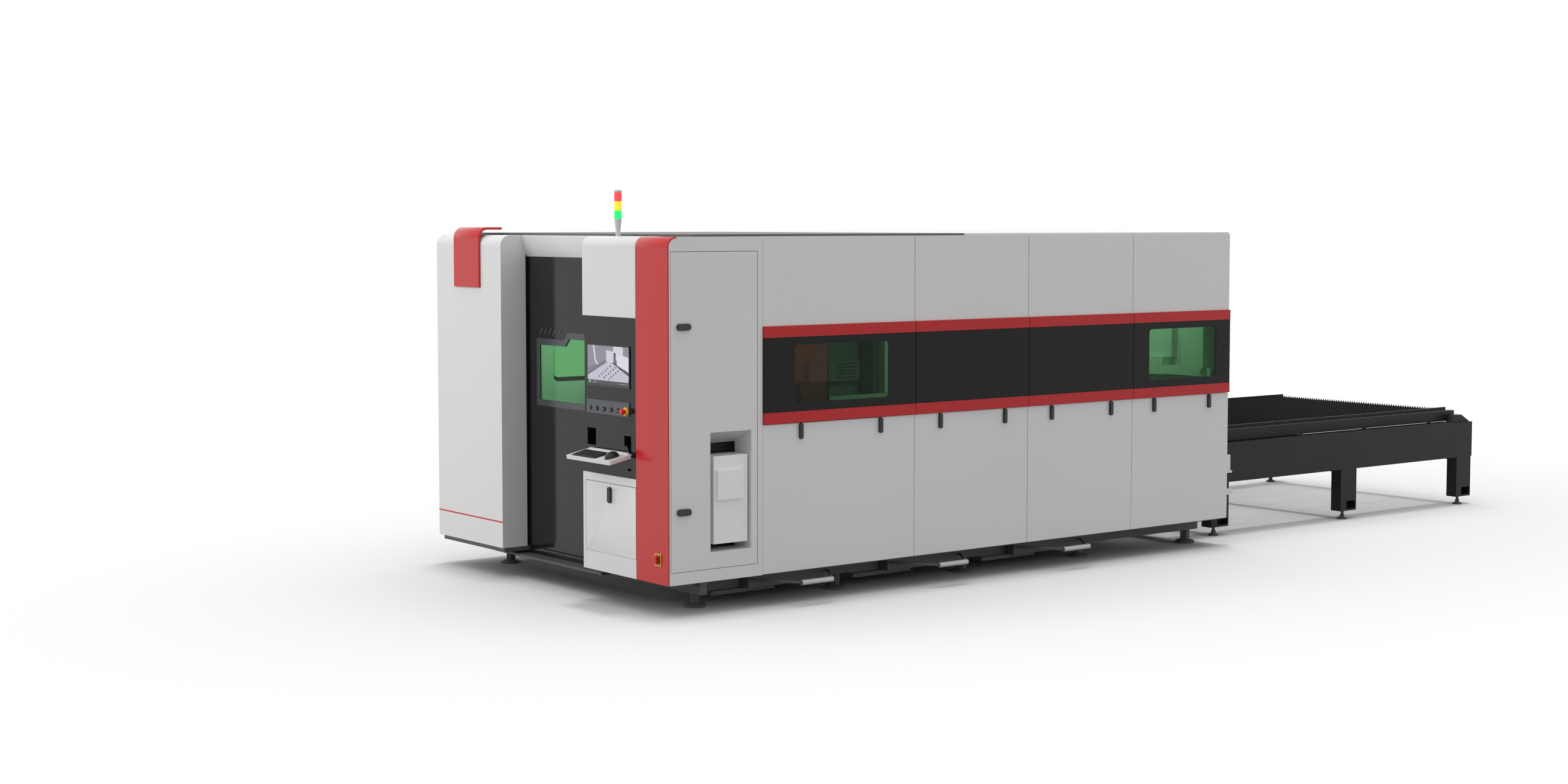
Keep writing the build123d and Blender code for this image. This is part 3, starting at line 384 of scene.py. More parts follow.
class Sculpt:
    """A bmesh that is drawn in its own plane and becomes one named piece of the machine."""

    def __init__(self, name: str, place: Matrix | None = None) -> None:
        """Starts an empty shape.

        Args:
            name: Name of the piece.
            place: Where its drawing plane stands on the machine.
        """
        self.name = name
        self.place = place or Matrix.Identity(4)
        self.bm = bmesh.new()

    def block(self, low: tuple, high: tuple, soft: float = 0.0) -> list[bmesh.types.BMVert]:
        """Adds a box.

        Args:
            low: Lowest corner.
            high: Highest corner.
            soft: Width of the bevel on every edge.

        Returns:
            The box's vertices, if it has no bevel.
        """
        low, high = Vector(low), Vector(high)
        place = Matrix.Translation((low + high) / 2) @ Matrix.Diagonal((*(high - low), 1.0))
        verts = bmesh.ops.create_cube(self.bm, size=1, matrix=place)["verts"]
        if soft:
            self.bevel(list({edge for vert in verts for edge in vert.link_edges}), soft, 2)
        return verts

    def pad(self, low: tuple, high: tuple, radius: float, crown: float, segments: int = 6) -> None:
        """Adds a plate with round corners and a crowned rim on the side that faces out.

        Args:
            low: Lowest corner.
            high: Highest corner.
            radius: Corners' radius in the drawing plane.
            crown: Width of the rim's rounding.
            segments: Steps of each round corner.
        """
        verts = self.block(low, high)
        edges = {edge for vert in verts for edge in vert.link_edges}
        upright = [edge for edge in edges if abs(edge.verts[0].co.z - edge.verts[1].co.z) > 1e-7]
        others = set(self.bm.edges) - edges
        self.bevel(upright, radius, segments)
        rim = [
            edge
            for edge in self.bm.edges
            if edge not in others and all(abs(vert.co.z - high[2]) < 1e-7 for vert in edge.verts)
        ]
        self.bevel(rim, crown, 3)

    def bevel(self, edges: list[bmesh.types.BMEdge], width: float, segments: int) -> None:
        """Rounds a list of edges."""
        bmesh.ops.bevel(
            self.bm,
            geom=edges,
            offset=width,
            affect="EDGES",
            segments=segments,
            profile=0.5,
            material=-1,
        )

    def turn(self, profile: list[tuple[float, float]], at: Matrix | None = None, steps: int = 40) -> None:
        """Spins a profile about a local Z axis.

        Args:
            profile: Points as (radius, height), from one pole or rim to the other.
            at: Where the local axis stands in the drawing plane.
            steps: Faces round the axis.
        """
        known = set(self.bm.verts)
        verts = [self.bm.verts.new((radius, 0.0, height)) for radius, height in profile]
        edges = [self.bm.edges.new(pair) for pair in zip(verts, verts[1:])]
        bmesh.ops.spin(
            self.bm,
            geom=verts + edges,
            cent=(0.0, 0.0, 0.0),
            axis=(0.0, 0.0, 1.0),
            angle=FULL_TURN,
            steps=steps,
            use_merge=True,
        )
        fresh = [vert for vert in self.bm.verts if vert not in known]
        bmesh.ops.remove_doubles(self.bm, verts=fresh, dist=1e-6)
        if at:
            fresh = [vert for vert in self.bm.verts if vert not in known]
            bmesh.ops.transform(self.bm, matrix=at, verts=fresh)

    def prism(self, outline: list[tuple], run: tuple) -> None:
        """Carries a closed outline of points along a run."""
        verts = [self.bm.verts.new(point) for point in outline]
        face = self.bm.faces.new(verts)
        made = bmesh.ops.extrude_face_region(self.bm, geom=[face])["geom"]
        moved = [item for item in made if isinstance(item, bmesh.types.BMVert)]
        bmesh.ops.translate(self.bm, vec=run, verts=moved)

    def finish(self, paint: Finish, body: str, replaces: tuple[str, ...] = ()) -> None:
        """Turns the shape into an object of the machine.

        Args:
            paint: Finish of the whole piece.
            body: Body that the piece moves with.
            replaces: Nodes that the piece stands for.
        """
        bmesh.ops.transform(self.bm, matrix=self.place, verts=self.bm.verts)
        bmesh.ops.recalc_face_normals(self.bm, faces=self.bm.faces)
        for edge in self.bm.edges:
            edge.smooth = len(edge.link_faces) == 2 and edge.calc_face_angle() < SHARP
        for face in self.bm.faces:
            face.smooth = True
        mesh = bpy.data.meshes.new(self.name)
        self.bm.to_mesh(mesh)
        self.bm.free()
        piece = bpy.data.objects.new(self.name, mesh)
        bpy.context.scene.collection.objects.link(piece)
        mesh.materials.append(paint.material())
        flat = piece.modifiers.new("flat_faces", "WEIGHTED_NORMAL")
        flat.mode = "FACE_AREA_WITH_ANGLE"
        flat.weight = 100
        flat.keep_sharp = True
        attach(piece, body)
        if replaces:
            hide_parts(*replaces)
        LOG.info("%s rides on %s with %d faces", self.name, body, len(mesh.polygons))


def add_box(
    name: str, ends: tuple, paint: Finish, body: str = "machine", soft: float = 0.0
) -> None:
    """Makes a piece that is one box.

    Args:
        name: Name of the piece.
        ends: Lowest and highest corner.
        paint: Finish of the piece.
        body: Body that the piece moves with.
        soft: Width of the bevel on every edge.
    """
    piece = Sculpt(name)
    piece.block(*ends, soft)
    piece.finish(paint, body)


class Dresser:
    """Gives the machine's own nodes their finish and a small radius on their edges."""

    def __init__(self, nodes: dict[str, bpy.types.Object]) -> None:
        """Keeps the loaded nodes by name."""
        self.nodes = nodes

    def dress(self, paint: Paint, names: str, soft: float = 0.0) -> None:
        """Paints nodes.

        Args:
            paint: Finish of the nodes.
            names: Node names, with spaces between them.
            soft: Width of the folded edge's radius, or 0 to leave edges sharp.
        """
        for name in names.split():
            node = self.nodes[name]
            node.material_slots[0].material = paint.material()
            if soft:
                self.soften(node, soft)
            LOG.info("%s is finished in %s", name, paint.value.name)

    def soften(self, node: bpy.types.Object, width: float) -> None:
        """Rounds a node's sharp edges with modifiers."""
        weld = node.modifiers.new("weld", "WELD")
        weld.merge_threshold = 1e-5
        flat = node.modifiers.new("flat", "DECIMATE")
        flat.decimate_type = "DISSOLVE"
        flat.angle_limit = math.radians(0.5)
        bevel = node.modifiers.new("fold", "BEVEL")
        bevel.width = width
        bevel.segments = 2
        bevel.limit_method = "ANGLE"
        bevel.angle_limit = math.radians(40)
        bevel.use_clamp_overlap = True
        bevel.harden_normals = True


@dataclass
class Shell:
    """Trim of the skin: pillar line, roof sheets, window panes, and dark sheets of painted shade in the
    pocket and behind the tray.
    """

    line_height: float = 0.372
    line_width: float = 0.010
    line_sheet: float = 0.0006
    roof_joint: float = 2.340
    roof_gap: float = 0.001
    amber_end: float = 1.196
    panes: tuple[float, float] = (0.773, 0.721)
    glass_sheet: float = 0.006
    pocket: tuple[float, float] = (0.305, 0.609)
    pocket_foot: float = 0.374
    pocket_back: float = 0.1708
    pocket_rise: float = 0.066
    # Span and levels of the painted shade plate under the fascia's left slot.
    slot_shade_span: tuple[float, float] = (0.797, 0.893)
    slot_shade_level: tuple[float, float] = (0.900, 0.970)
    fascia: float = 0.015
    thin: float = 0.0008

    def build(self, corner: Vector) -> None:
        """Makes the trim.

        Args:
            corner: Floor point under the machine's front corner on the window side.
        """
        self.pillar_line()
        self.roof(corner)
        self.windows(corner)
        self.pocket_shade_sheet(corner)
        self.slot_shade_plate(corner)

    def pillar_line(self) -> None:
        """Thin red line over the front of the pillar's foot."""
        low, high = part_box("front_pillar")
        out, half = self.line_sheet, self.line_width / 2
        ends = (
            (low.x - out, low.y - out, self.line_height - half),
            (low.x, high.y + out, self.line_height + half),
        )
        add_box("pillar_line", ends, Paint.RED)

    def roof(self, corner: Vector) -> None:
        """Dark front sheet and white rear sheet."""
        low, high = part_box("roof_panels")
        joint = corner.x + self.roof_joint
        for name, paint, ends in (
            ("roof_front", Paint.ROOF, (low.x, joint - self.roof_gap)),
            ("roof_rear", Paint.WHITE, (joint + self.roof_gap, high.x)),
        ):
            sheet = Sculpt(name)
            sheet.block((ends[0], low.y, low.z), (ends[1], high.y, high.z), soft=0.003)
            sheet.finish(paint, "machine", ("roof_panels",) if name == "roof_front" else ())

    def windows(self, corner: Vector) -> None:
        """Two near panes, the first amber for a part of its length, and two paler far panes."""
        low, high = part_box("side_windows")
        sheet = self.glass_sheet
        split = corner.x + self.amber_end
        first, last = low.x + self.panes[0], high.x - self.panes[1]
        green = Sculpt("green_panes")
        for ends in ((split, first), (last, high.x)):
            green.block((ends[0], low.y, low.z), (ends[1], low.y + sheet, high.z))
        green.finish(Paint.GREEN_GLASS, "machine", ("side_windows",))
        pale = Sculpt("far_panes")
        for ends in ((low.x, first), (last, high.x)):
            pale.block((ends[0], high.y - sheet, low.z), (ends[1], high.y, high.z))
        pale.finish(Paint.PALE_GLASS, "machine")
        add_box("amber_pane", (low, (split, low.y + sheet, high.z)), Paint.AMBER_GLASS)

    def pocket_shade_sheet(self, corner: Vector) -> None:
        """Dark sheet on the back of the pocket, behind the cooling unit: painted shade where the pocket's
        back lies in shadow.
        """
        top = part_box("air_conditioner")[1].z + self.pocket_rise
        left, right = (corner.x + end for end in self.pocket)
        back = corner.y + self.pocket_back
        ends = ((left, back - self.thin, self.pocket_foot), (right, back, top))
        # Painted shade: a dark sheet stands for the shadow at the back of the pocket.
        add_box("pocket_shade_sheet", ends, Paint.BAND, "cabinet_door")

    def slot_shade_plate(self, corner: Vector) -> None:
        """Black plate under the left slot of the fascia, behind the tray: painted shade, carrying the
        slot's dark down to the tray.
        """
        near, far = (corner.y + end for end in self.slot_shade_span)
        face = corner.x + self.fascia
        low, high = self.slot_shade_level
        ends = ((face - self.thin, near, low), (face, far, high))
        # Painted shade: a black plate stands for the shadow behind the tray.
        add_box("slot_shade_plate", ends, Paint.KEY_PLASTIC)


@dataclass
class DoorVents:
    """Slanted blades in the vents over the front door's window."""

    count: int = 5
    first: float = 1.776
    pitch: float = 0.056
    width: float = 0.017
    lean: float = 0.039
    level: tuple[float, float] = (1.604, 1.651)
    sheet: float = 0.002

    def build(self, corner: Vector) -> None:
        """Makes the five blades.

        Args:
            corner: Floor point under the machine's front corner on the window side.
        """
        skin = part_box("window_rim")[1].x
        blades = Sculpt("door_vent_blades")
        low, high = self.level
        for number in range(self.count):
            y = corner.y + self.first - self.pitch * number
            foot = [(skin, y, low), (skin, y - self.width, low)]
            head = [(skin, y - self.width - self.lean, high), (skin, y - self.lean, high)]
            blades.prism(foot + head, (self.sheet, 0.0, 0.0))
        blades.finish(Paint.SLATE, "front_door")


@dataclass
class ChamberFittings:
    """Vented fan box and upright duct on the far wall, seen through the first side window."""

    box: tuple[float, float] = (3.16, 3.66)
    duct: tuple[float, float] = (3.69, 3.80)
    box_level: tuple[float, float] = (1.10, 1.262)
    duct_level: tuple[float, float] = (0.96, 2.19)
    wall: float = 2.724
    depth: float = 0.06
    slot_ends: tuple[float, float] = (0.36, 0.46)
    slot_length: float = 0.08
    slot_height: float = 0.008
    slot_foot: float = 0.028
    slot_pitch: float = 0.026

    def build(self, corner: Vector) -> None:
        """Makes both fittings.

        Args:
            corner: Floor point under the machine's front corner on the window side.
        """
        far = corner.y + self.wall
        front = far - self.depth
        left, right = (corner.x + end for end in self.box)
        low, high = self.box_level
        add_box("fan_box", ((left, front, low), (right, far, high)), Paint.ROOF, soft=0.003)
        slots = Sculpt("fan_slots")
        for column in self.slot_ends:
            for row in range(5):
                end = left + column
                level = low + self.slot_foot + self.slot_pitch * row
                slots.block(
                    (end - self.slot_length, front - 0.002, level),
                    (end, front + 0.004, level + self.slot_height),
                )
        slots.finish(Paint.BAND, "machine")
        left, right = (corner.x + end for end in self.duct)
        low, high = self.duct_level
        ends = ((left, front, low), (right, far, high))
        add_box("chamber_duct", ends, Paint.BAND, soft=0.004)


@dataclass
class Latches:
    """Black swing latches on the lower panels, the cabinet door and the console door."""

    first_inset: float = 0.286
    inset: float = 0.213
    length: float = 0.0986
    width: float = 0.0266
    proud: float = 0.021
    paddle: float = 0.016
    pivots: tuple[float, float] = (0.020, 0.017)
    crown: float = 0.0044
    cylinder: float = 0.0065

    def build(self) -> None:
        """Makes every latch."""
        for number in range(1, 5):
            self.on_panel(f"lower_panel_{number}", self.first_inset if number == 1 else self.inset)
        for node in ("cabinet_latch_upper", "cabinet_latch_lower"):
            self.on_door(node, Facing.SIDE)
        self.on_door("console_latch", Facing.FRONT)

    def on_panel(self, body: str, inset: float) -> None:
        """Two upright latches near the top of a lower panel."""
        low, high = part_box(body)
        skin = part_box("upper_covers")[0].y
        sculpt = Sculpt(f"{body}_latches", Facing.SIDE.at(Vector((0.0, skin, high.z - 0.0007))))
        for middle in (low.x + inset, high.x - inset):
            half = self.width / 2
            foot = (middle - half, -self.length, 0.0)
            sculpt.pad(foot, (middle + half, 0.0, self.proud), half * 0.96, self.crown, 8)
            lock = Matrix.Translation((middle, -self.length * 0.3, self.proud))
            rim = self.cylinder
            sculpt.turn([(rim, -0.002), (rim, 0.0008), (rim - 0.001, 0.0014), (0.0, 0.0014)], lock, 20)
        sculpt.finish(Paint.BLACK_PLASTIC, body)

    def on_door(self, node: str, facing: Facing) -> None:
        """A latch that turns, in the place of its node."""
        low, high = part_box(node)
        middle = (low + high) / 2
        outward = Vector(facing.value)
        reach = (high - low) / 2
        depth = abs(reach.dot(outward))
        sculpt = Sculpt(node.replace("latch", "latch_paddle"), facing.at(middle + outward * depth))
        wide, tall = reach.x if facing is Facing.SIDE else reach.y, reach.z
        seat = -2 * depth
        foot = (-wide, -tall, -self.paddle)
        sculpt.pad(foot, (wide, tall, 0.0), min(wide, tall) * 0.96, self.crown, 8)
        side_pivot, front_pivot = self.pivots
        pivot = (-wide + side_pivot, 0.0) if facing is Facing.SIDE else (0.0, tall - front_pivot)
        stem = Matrix.Translation((*pivot, 0.0))
        sculpt.turn([(0.0, seat), (0.008, seat), (0.008, -0.014)], stem, 24)
        rim = self.cylinder
        sculpt.turn([(rim, -0.003), (rim, 0.0), (rim - 0.001, 0.0006), (0.0, 0.0006)], stem, 20)
        sculpt.finish(Paint.BLACK_PLASTIC, node, (node,))


@dataclass
class Screen:
    """Monitor picture: a generic view of a sheet under a cutting head, drawn as fields of light."""

    side: float = 0.008
    foot: float = 0.014
    top: float = 0.008
    recess: float = 0.003
    layer: float = 0.0003
    status: float = 0.1

    def build(self) -> None:
        """Makes the picture's fields, each a layer above the last."""
        low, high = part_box("monitor")
        self.width = high.y - low.y - 2 * self.side
        self.height = high.z - low.z - self.foot - self.top
        origin = Vector((low.x + self.recess, high.y - self.side, low.z + self.foot))
        self.plane = Facing.FRONT.at(origin)
        edge = self.status
        wall = [(0.0, edge), (1.0, edge), (1.0, 1.0), (0.0, 1.0)]
        sheet = [(0.02, edge), (0.98, edge), (1.0, 0.3), (0.58, 0.62), (0.52, 0.62), (0.0, 0.2)]
        bench = [(0.0, 0.2), (0.52, 0.62), (0.52, 0.68), (0.0, 0.4)]
        gap = [(0.54, 0.62), (1.0, 0.26), (1.0, 0.34), (0.57, 0.66)]
        bar = [(0.0, 0.0), (1.0, 0.0), (1.0, edge), (0.0, edge)]
        hose = [(0.13, 1.0), (0.17, 1.0), (0.21, 0.62), (0.27, 0.52), (0.23, 0.5), (0.18, 0.6)]
        column = [(0.63, 0.6), (0.86, 0.74), (0.86, 1.0), (0.63, 1.0)]
        head = [(0.46, 0.6), (0.65, 0.58), (0.65, 0.86), (0.46, 0.9)]
        cover = [(0.72, 0.52), (1.0, 0.36), (1.0, 0.74), (0.84, 0.78), (0.72, 0.76)]
        self.field("screen_wall", "#8E8F9C", [wall], 1)
        self.field("screen_sheet", "#C9CAD8", [sheet], 2)
        self.field("screen_bench", "#7B7C8A", [bench], 3)
        self.field("screen_gap", "#3A3B44", [gap, bar], 3)
        self.field("screen_cuts", "#484955", self.cut_shapes(), 3)
        self.field("screen_head", "#DADBE6", [hose, column, head], 4)
        self.field("screen_cover", "#E6E7F0", [cover], 5)
        shade = [(0.64, 0.58), (0.69, 0.6), (0.69, 0.84), (0.64, 0.84)]
        self.field("screen_shade", "#55565F", [shade], 5)
        mark = [(0.03, 0.05), (0.06, 0.0), (0.09, 0.05), (0.06, 0.12)]
        self.field("screen_mark", "#6FB277", [mark], 5)
        texts = [(0.14, 0.24, 0.05), (0.14, 0.2, 0.02), (0.76, 0.98, 0.04)]
        rows = [[(a, v), (b, v), (b, v + 0.012), (a, v + 0.012)] for a, b, v in texts]
        self.field("screen_rows", "#9FA0A4", rows, 5)

    def cut_shapes(self) -> list[list[tuple[float, float]]]:
        """Rows of plain slots and lozenges that lie along the sheet, and teeth along the bench."""
        shapes = []
        for row in range(3):
            for place in range(6):
                u = 0.27 + 0.052 * place + 0.12 * row
                v = 0.2 + 0.056 * place - 0.028 * row
                wide = 0.032 if (row + place) % 2 else 0.022
                end = u + wide
                shapes.append([(u, v), (end, v - 0.022), (end + 0.014, v + 0.008), (u + 0.014, v + 0.03)])
        for tooth in range(12):
            u = 0.03 + 0.036 * tooth
            v = 0.235 + 0.0295 * tooth
            shapes.append([(u, v), (u + 0.012, v + 0.008), (u + 0.012, v + 0.06), (u, v + 0.05)])
        return shapes

    def field(self, name: str, colour: str, shapes: list[list[tuple[float, float]]], level: int) -> None:
        """Draws shapes of one colour, given as shares of the picture's width and height."""
        sculpt = Sculpt(name, self.plane)
        for shape in shapes:
            outline = [(u * self.width, v * self.height, 0.0) for u, v in shape]
            sculpt.prism(outline, (0.0, 0.0, self.layer * level))
        sculpt.finish(ScreenTint(name, colour), "machine")


@dataclass
class Controls:
    """Push buttons, emergency stop and main switch."""

    button: float = 0.0139
    lens: float = 0.0085
    stop: float = 0.0178
    collar: float = 0.0258
    rim: float = 0.005

    def build(self) -> None:
        """Makes every control in the place of its node."""
        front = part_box("button_plate")[0].x
        for number in range(1, 6):
            self.push_button(f"button_{number}", front, number == 1)
        self.emergency_stop(front)
        self.main_switch()

    def push_button(self, node: str, front: float, ringed: bool) -> None:
        """Button with a raised rim and a dished middle; the first has a bright ring."""
        plane = Facing.FRONT.at(self.centre(node, front))
        rim, lens = self.button, self.lens
        cap = Sculpt(f"{node}_cap", plane)
        inside = [(0.0, -0.012), (rim, -0.012), (rim, 0.0055), (rim - 0.0012, 0.0078), (rim - 0.003, 0.009)]
        cap.turn(inside + [(lens + 0.001, 0.009), (lens, 0.0072), (0.0, 0.0064)])
        cap.finish(Paint.KEY_PLASTIC, node, (node,))
        mark = Sculpt(f"{node}_mark", plane)
        if ringed:
            inner, outer = rim - 0.004, rim - 0.0015
            mark.turn([(inner, 0.0086), (rim - 0.0035, 0.0094), (rim - 0.002, 0.0094), (outer, 0.0086)])
        else:
            mark.turn([(0.0, 0.0064), (0.0038, 0.0066), (0.0036, 0.0074), (0.0, 0.0078)])
        mark.finish(Paint.ALUMINIUM, node)

    def emergency_stop(self, front: float) -> None:
        """Red mushroom head on its stem, and the yellow collar under it."""
        node = "estop_button"
        plane = Facing.FRONT.at(self.centre(node, front))
        size = self.stop
        head = Sculpt("estop_mushroom", plane)
        stem = [(0.0, -0.016), (0.0119, -0.016), (0.0119, 0.021), (size * 0.8, 0.022), (size, 0.025)]
        crown = [(size, 0.036), (size * 0.95, 0.0405), (size * 0.8, 0.0435), (size * 0.5, 0.0455)]
        head.turn(stem + crown + [(0.0, 0.046)], steps=48)
        head.finish(Paint.RED_PLASTIC, node, (node,))
        ring = Sculpt("estop_ring", plane)
        wide = self.collar
        wall = [(0.0124, 0.0), (wide, 0.0), (wide, 0.007), (wide - 0.0015, 0.0105), (wide - 0.006, 0.012)]
        ring.turn(wall + [(0.0145, 0.012), (0.0124, 0.0105), (0.0124, 0.0)], steps=48)
        ring.finish(Paint.YELLOW_PLASTIC, "machine", ("estop_collar",))

    def main_switch(self) -> None:
        """Red rotary handle on a disc in a darker red, painted shade on the one red handle, and a yellow
        rim round its olive plate.
        """
        low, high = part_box("switch_plate")
        plane = Facing.FRONT.at(Vector((low.x, (low.y + high.y) / 2, (low.z + high.z) / 2)))
        wide, tall = (high.y - low.y) / 2, (high.z - low.z) / 2
        edge = self.rim
        rim = Sculpt("switch_rim", plane)
        for side in (-1, 1):
            middle = (wide - edge / 2) * side
            rim.block((middle - edge / 2, -tall, -0.002), (middle + edge / 2, tall, 0.0012))
            middle = (tall - edge / 2) * side
            rim.block((edge - wide, middle - edge / 2, -0.002), (wide - edge, middle + edge / 2, 0.0012))
        rim.finish(Paint.YELLOW_PLASTIC, "machine")
        # The disc's darker red is painted shade on the red handle, whose grip keeps the moulding's own red.
        disc = Sculpt("switch_disc", plane)
        disc.turn([(0.0, 0.0), (0.0199, 0.0), (0.0199, 0.0062), (0.018, 0.008), (0.0, 0.008)])
        disc.finish(Paint.SHADED_RED, "main_switch", ("main_switch",))
        handle = Sculpt("switch_handle", plane)
        handle.pad((-0.0065, -0.024, 0.004), (0.0065, 0.024, 0.023), 0.006, 0.002)
        handle.finish(Paint.RED_PLASTIC, "main_switch")

    def centre(self, node: str, front: float) -> Vector:
        """Middle of a round control on the face of the button plate."""
        low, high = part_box(node)
        return Vector((front, (low.y + high.y) / 2, (low.z + high.z) / 2))


@dataclass
class TrayTop:
    """Keyboard and mouse on the sloping tray."""

    hinge_height: float = 0.936
    slope: float = 12.0
    deck: float = 0.011
    depth: tuple[float, float] = (-0.148, -0.038)
    front_height: float = 0.004
    back_height: float = 0.008
    rows: int = 5
    columns: int = 16
    margin: float = 0.006
    key: float = 0.0046
    gap: float = 0.0009
    mouse_place: float = -0.09
    mouse_size: tuple[float, float, float] = (0.05, 0.03, 0.037)

    def build(self, corner: Vector) -> None:
        """Makes both pieces.

        Args:
            corner: Floor point under the machine's front corner on the window side.
        """
        hinge = Matrix.Translation((corner.x, 0.0, self.hinge_height))
        self.plane = hinge @ Matrix.Rotation(math.radians(-self.slope), 4, "Y")
        self.keyboard()
        self.mouse()

    def keyboard(self) -> None:
        """Wedge body with rows of tapered keys."""
        low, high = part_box("keyboard")
        near, far = self.depth
        body = Sculpt("keyboard_body", self.plane)
        verts = body.block((near, low.y, self.deck), (far, high.y, self.deck + self.front_height))
        raised = [vert for vert in verts if vert.co.x > near + 0.001 and vert.co.z > self.deck + 0.001]
        bmesh.ops.translate(body.bm, vec=(0.0, 0.0, self.back_height - self.front_height), verts=raised)
        body.bevel(list(body.bm.edges), 0.002, 2)
        body.finish(Paint.BLACK_PLASTIC, "tray", ("keyboard",))
        keys = Sculpt("keyboard_keys", self.plane)
        row_pitch = (far - near - 2 * self.margin) / self.rows
        pitch = (high.y - low.y - 2 * self.margin) / self.columns
        for row in range(self.rows):
            x = near + self.margin + row_pitch * row
            share = (x + row_pitch / 2 - near) / (far - near)
            seat = self.deck + self.front_height + (self.back_height - self.front_height) * share - 0.001
            for column in range(self.columns):
                y = low.y + self.margin + pitch * column
                wide = pitch
                if row == 0 and column == 5:
                    wide = pitch * 6
                elif row == 0 and 5 < column < 11:
                    continue
                self.key_cap(keys, (x, y, seat), (row_pitch, wide))
        keys.finish(Paint.KEY_PLASTIC, "tray")

    def key_cap(self, keys: Sculpt, place: tuple, size: tuple[float, float]) -> None:
        """One key, narrower at its top."""
        x, y, seat = place
        gap = self.gap
        low = (x + gap, y + gap, seat)
        high = (x + size[0] - gap, y + size[1] - gap, seat + self.key)
        verts = keys.block(low, high)
        upper = [vert for vert in verts if vert.co.z > seat + self.key / 2]
        middle = Vector((x + size[0] / 2, y + size[1] / 2, 0.0))
        taper = (0.8, 1 - 0.2 * size[0] / size[1], 1.0)
        bmesh.ops.scale(keys.bm, vec=taper, space=Matrix.Translation(-middle), verts=upper)

    def mouse(self) -> None:
        """Crowned shell, cut flat below, with a wheel between its two buttons."""
        low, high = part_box("mouse")
        middle = Vector((self.mouse_place, (low.y + high.y) / 2, self.deck))
        shell = Sculpt("mouse_shell", self.plane)
        form = Matrix.Translation(middle) @ Matrix.Diagonal((*self.mouse_size, 1.0))
        bmesh.ops.create_uvsphere(shell.bm, u_segments=40, v_segments=24, radius=1.0, matrix=form)
        cut = shell.bm.verts[:] + shell.bm.edges[:] + shell.bm.faces[:]
        level = middle + Vector((0.0, 0.0, 0.0005))
        up = (0.0, 0.0, 1.0)
        bmesh.ops.bisect_plane(shell.bm, geom=cut, plane_co=level, plane_no=up, clear_inner=True)
        bmesh.ops.holes_fill(shell.bm, edges=[edge for edge in shell.bm.edges if edge.is_boundary])
        shell.finish(Paint.BLACK_PLASTIC, "tray", ("mouse",))
        wheel = Sculpt("mouse_wheel", self.plane)
        hub = Matrix.Translation(middle + Vector((-0.026, -0.0025, 0.0255)))
        axle = hub @ Matrix.Rotation(-math.pi / 2, 4, "X")
        tread = [(0.007, 0.0), (0.0085, 0.001), (0.0085, 0.004), (0.007, 0.005)]
        wheel.turn([(0.0, 0.0), *tread, (0.0, 0.005)], axle, 24)
        wheel.finish(Paint.GREY_PLASTIC, "tray")


@dataclass
class SignalTower:
    """Three lit lenses with moulded ribs, in the place of the tower's lamps."""

    radius: float = 0.0238
    groove: float = 0.0012
    ribs: int = 7
    levels: tuple[float, ...] = (2.353, 2.406, 2.461, 2.516)

    def build(self) -> None:
        """Makes the lenses from the lowest up."""
        low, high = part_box("tower_lamps")
        middle = (low + high) / 2
        for i, paint in enumerate((Paint.LAMP_GREEN, Paint.LAMP_AMBER, Paint.LAMP_RED)):
            bottom, top = self.levels[i], self.levels[i + 1]
            lens = Sculpt(f"tower_{paint.value.name}", Matrix.Translation((middle.x, middle.y, 0.0)))
            neck = self.radius - 0.002
            ribs = [(0.0, bottom), (neck, bottom), (neck, bottom + 0.003)]
            step = (top - bottom - 0.007) / self.ribs
            for rib in range(self.ribs):
                level = bottom + 0.003 + step * rib
                ribs += [(self.radius - self.groove, level), (self.radius, level + step / 2)]
            ribs += [(neck, top - 0.004), (neck, top), (0.0, top)]
            lens.turn(ribs, steps=48)
            lens.finish(paint, "machine", ("tower_lamps",) if i == 0 else ())


@dataclass
class DrawerGrips:
    """Bright tube sleeves with end rings on the scrap drawers' handles."""

    length: float = 0.242
    radius: float = 0.0168
    wall: float = 0.016
    height: float = 0.146

    def build(self) -> None:
        """Makes the three sleeves on the bars of their drawers."""
        for number in range(1, 4):
            body = f"scrap_drawer_{number}"
            low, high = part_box(body)
            half = self.length / 2
            bar = Vector(((low.x + high.x) / 2 - half, low.y + self.wall, self.height))
            sleeve = Sculpt(f"{body}_grip", Matrix.Translation(bar) @ Matrix.Rotation(math.pi / 2, 4, "Y"))
            size, end = self.radius, self.length
            edge, tube = size - 0.001, size - 0.0006
            start = [(0.006, 0.0), (edge, 0.0), (size, 0.001), (size, 0.006), (tube, 0.0065)]
            close = [(tube, end - 0.0065), (size, end - 0.006), (size, end - 0.001), (edge, end)]
            sleeve.turn(start + close + [(0.006, end), (0.006, 0.0)], steps=48)
            sleeve.finish(Paint.BRIGHT_STEEL, body)


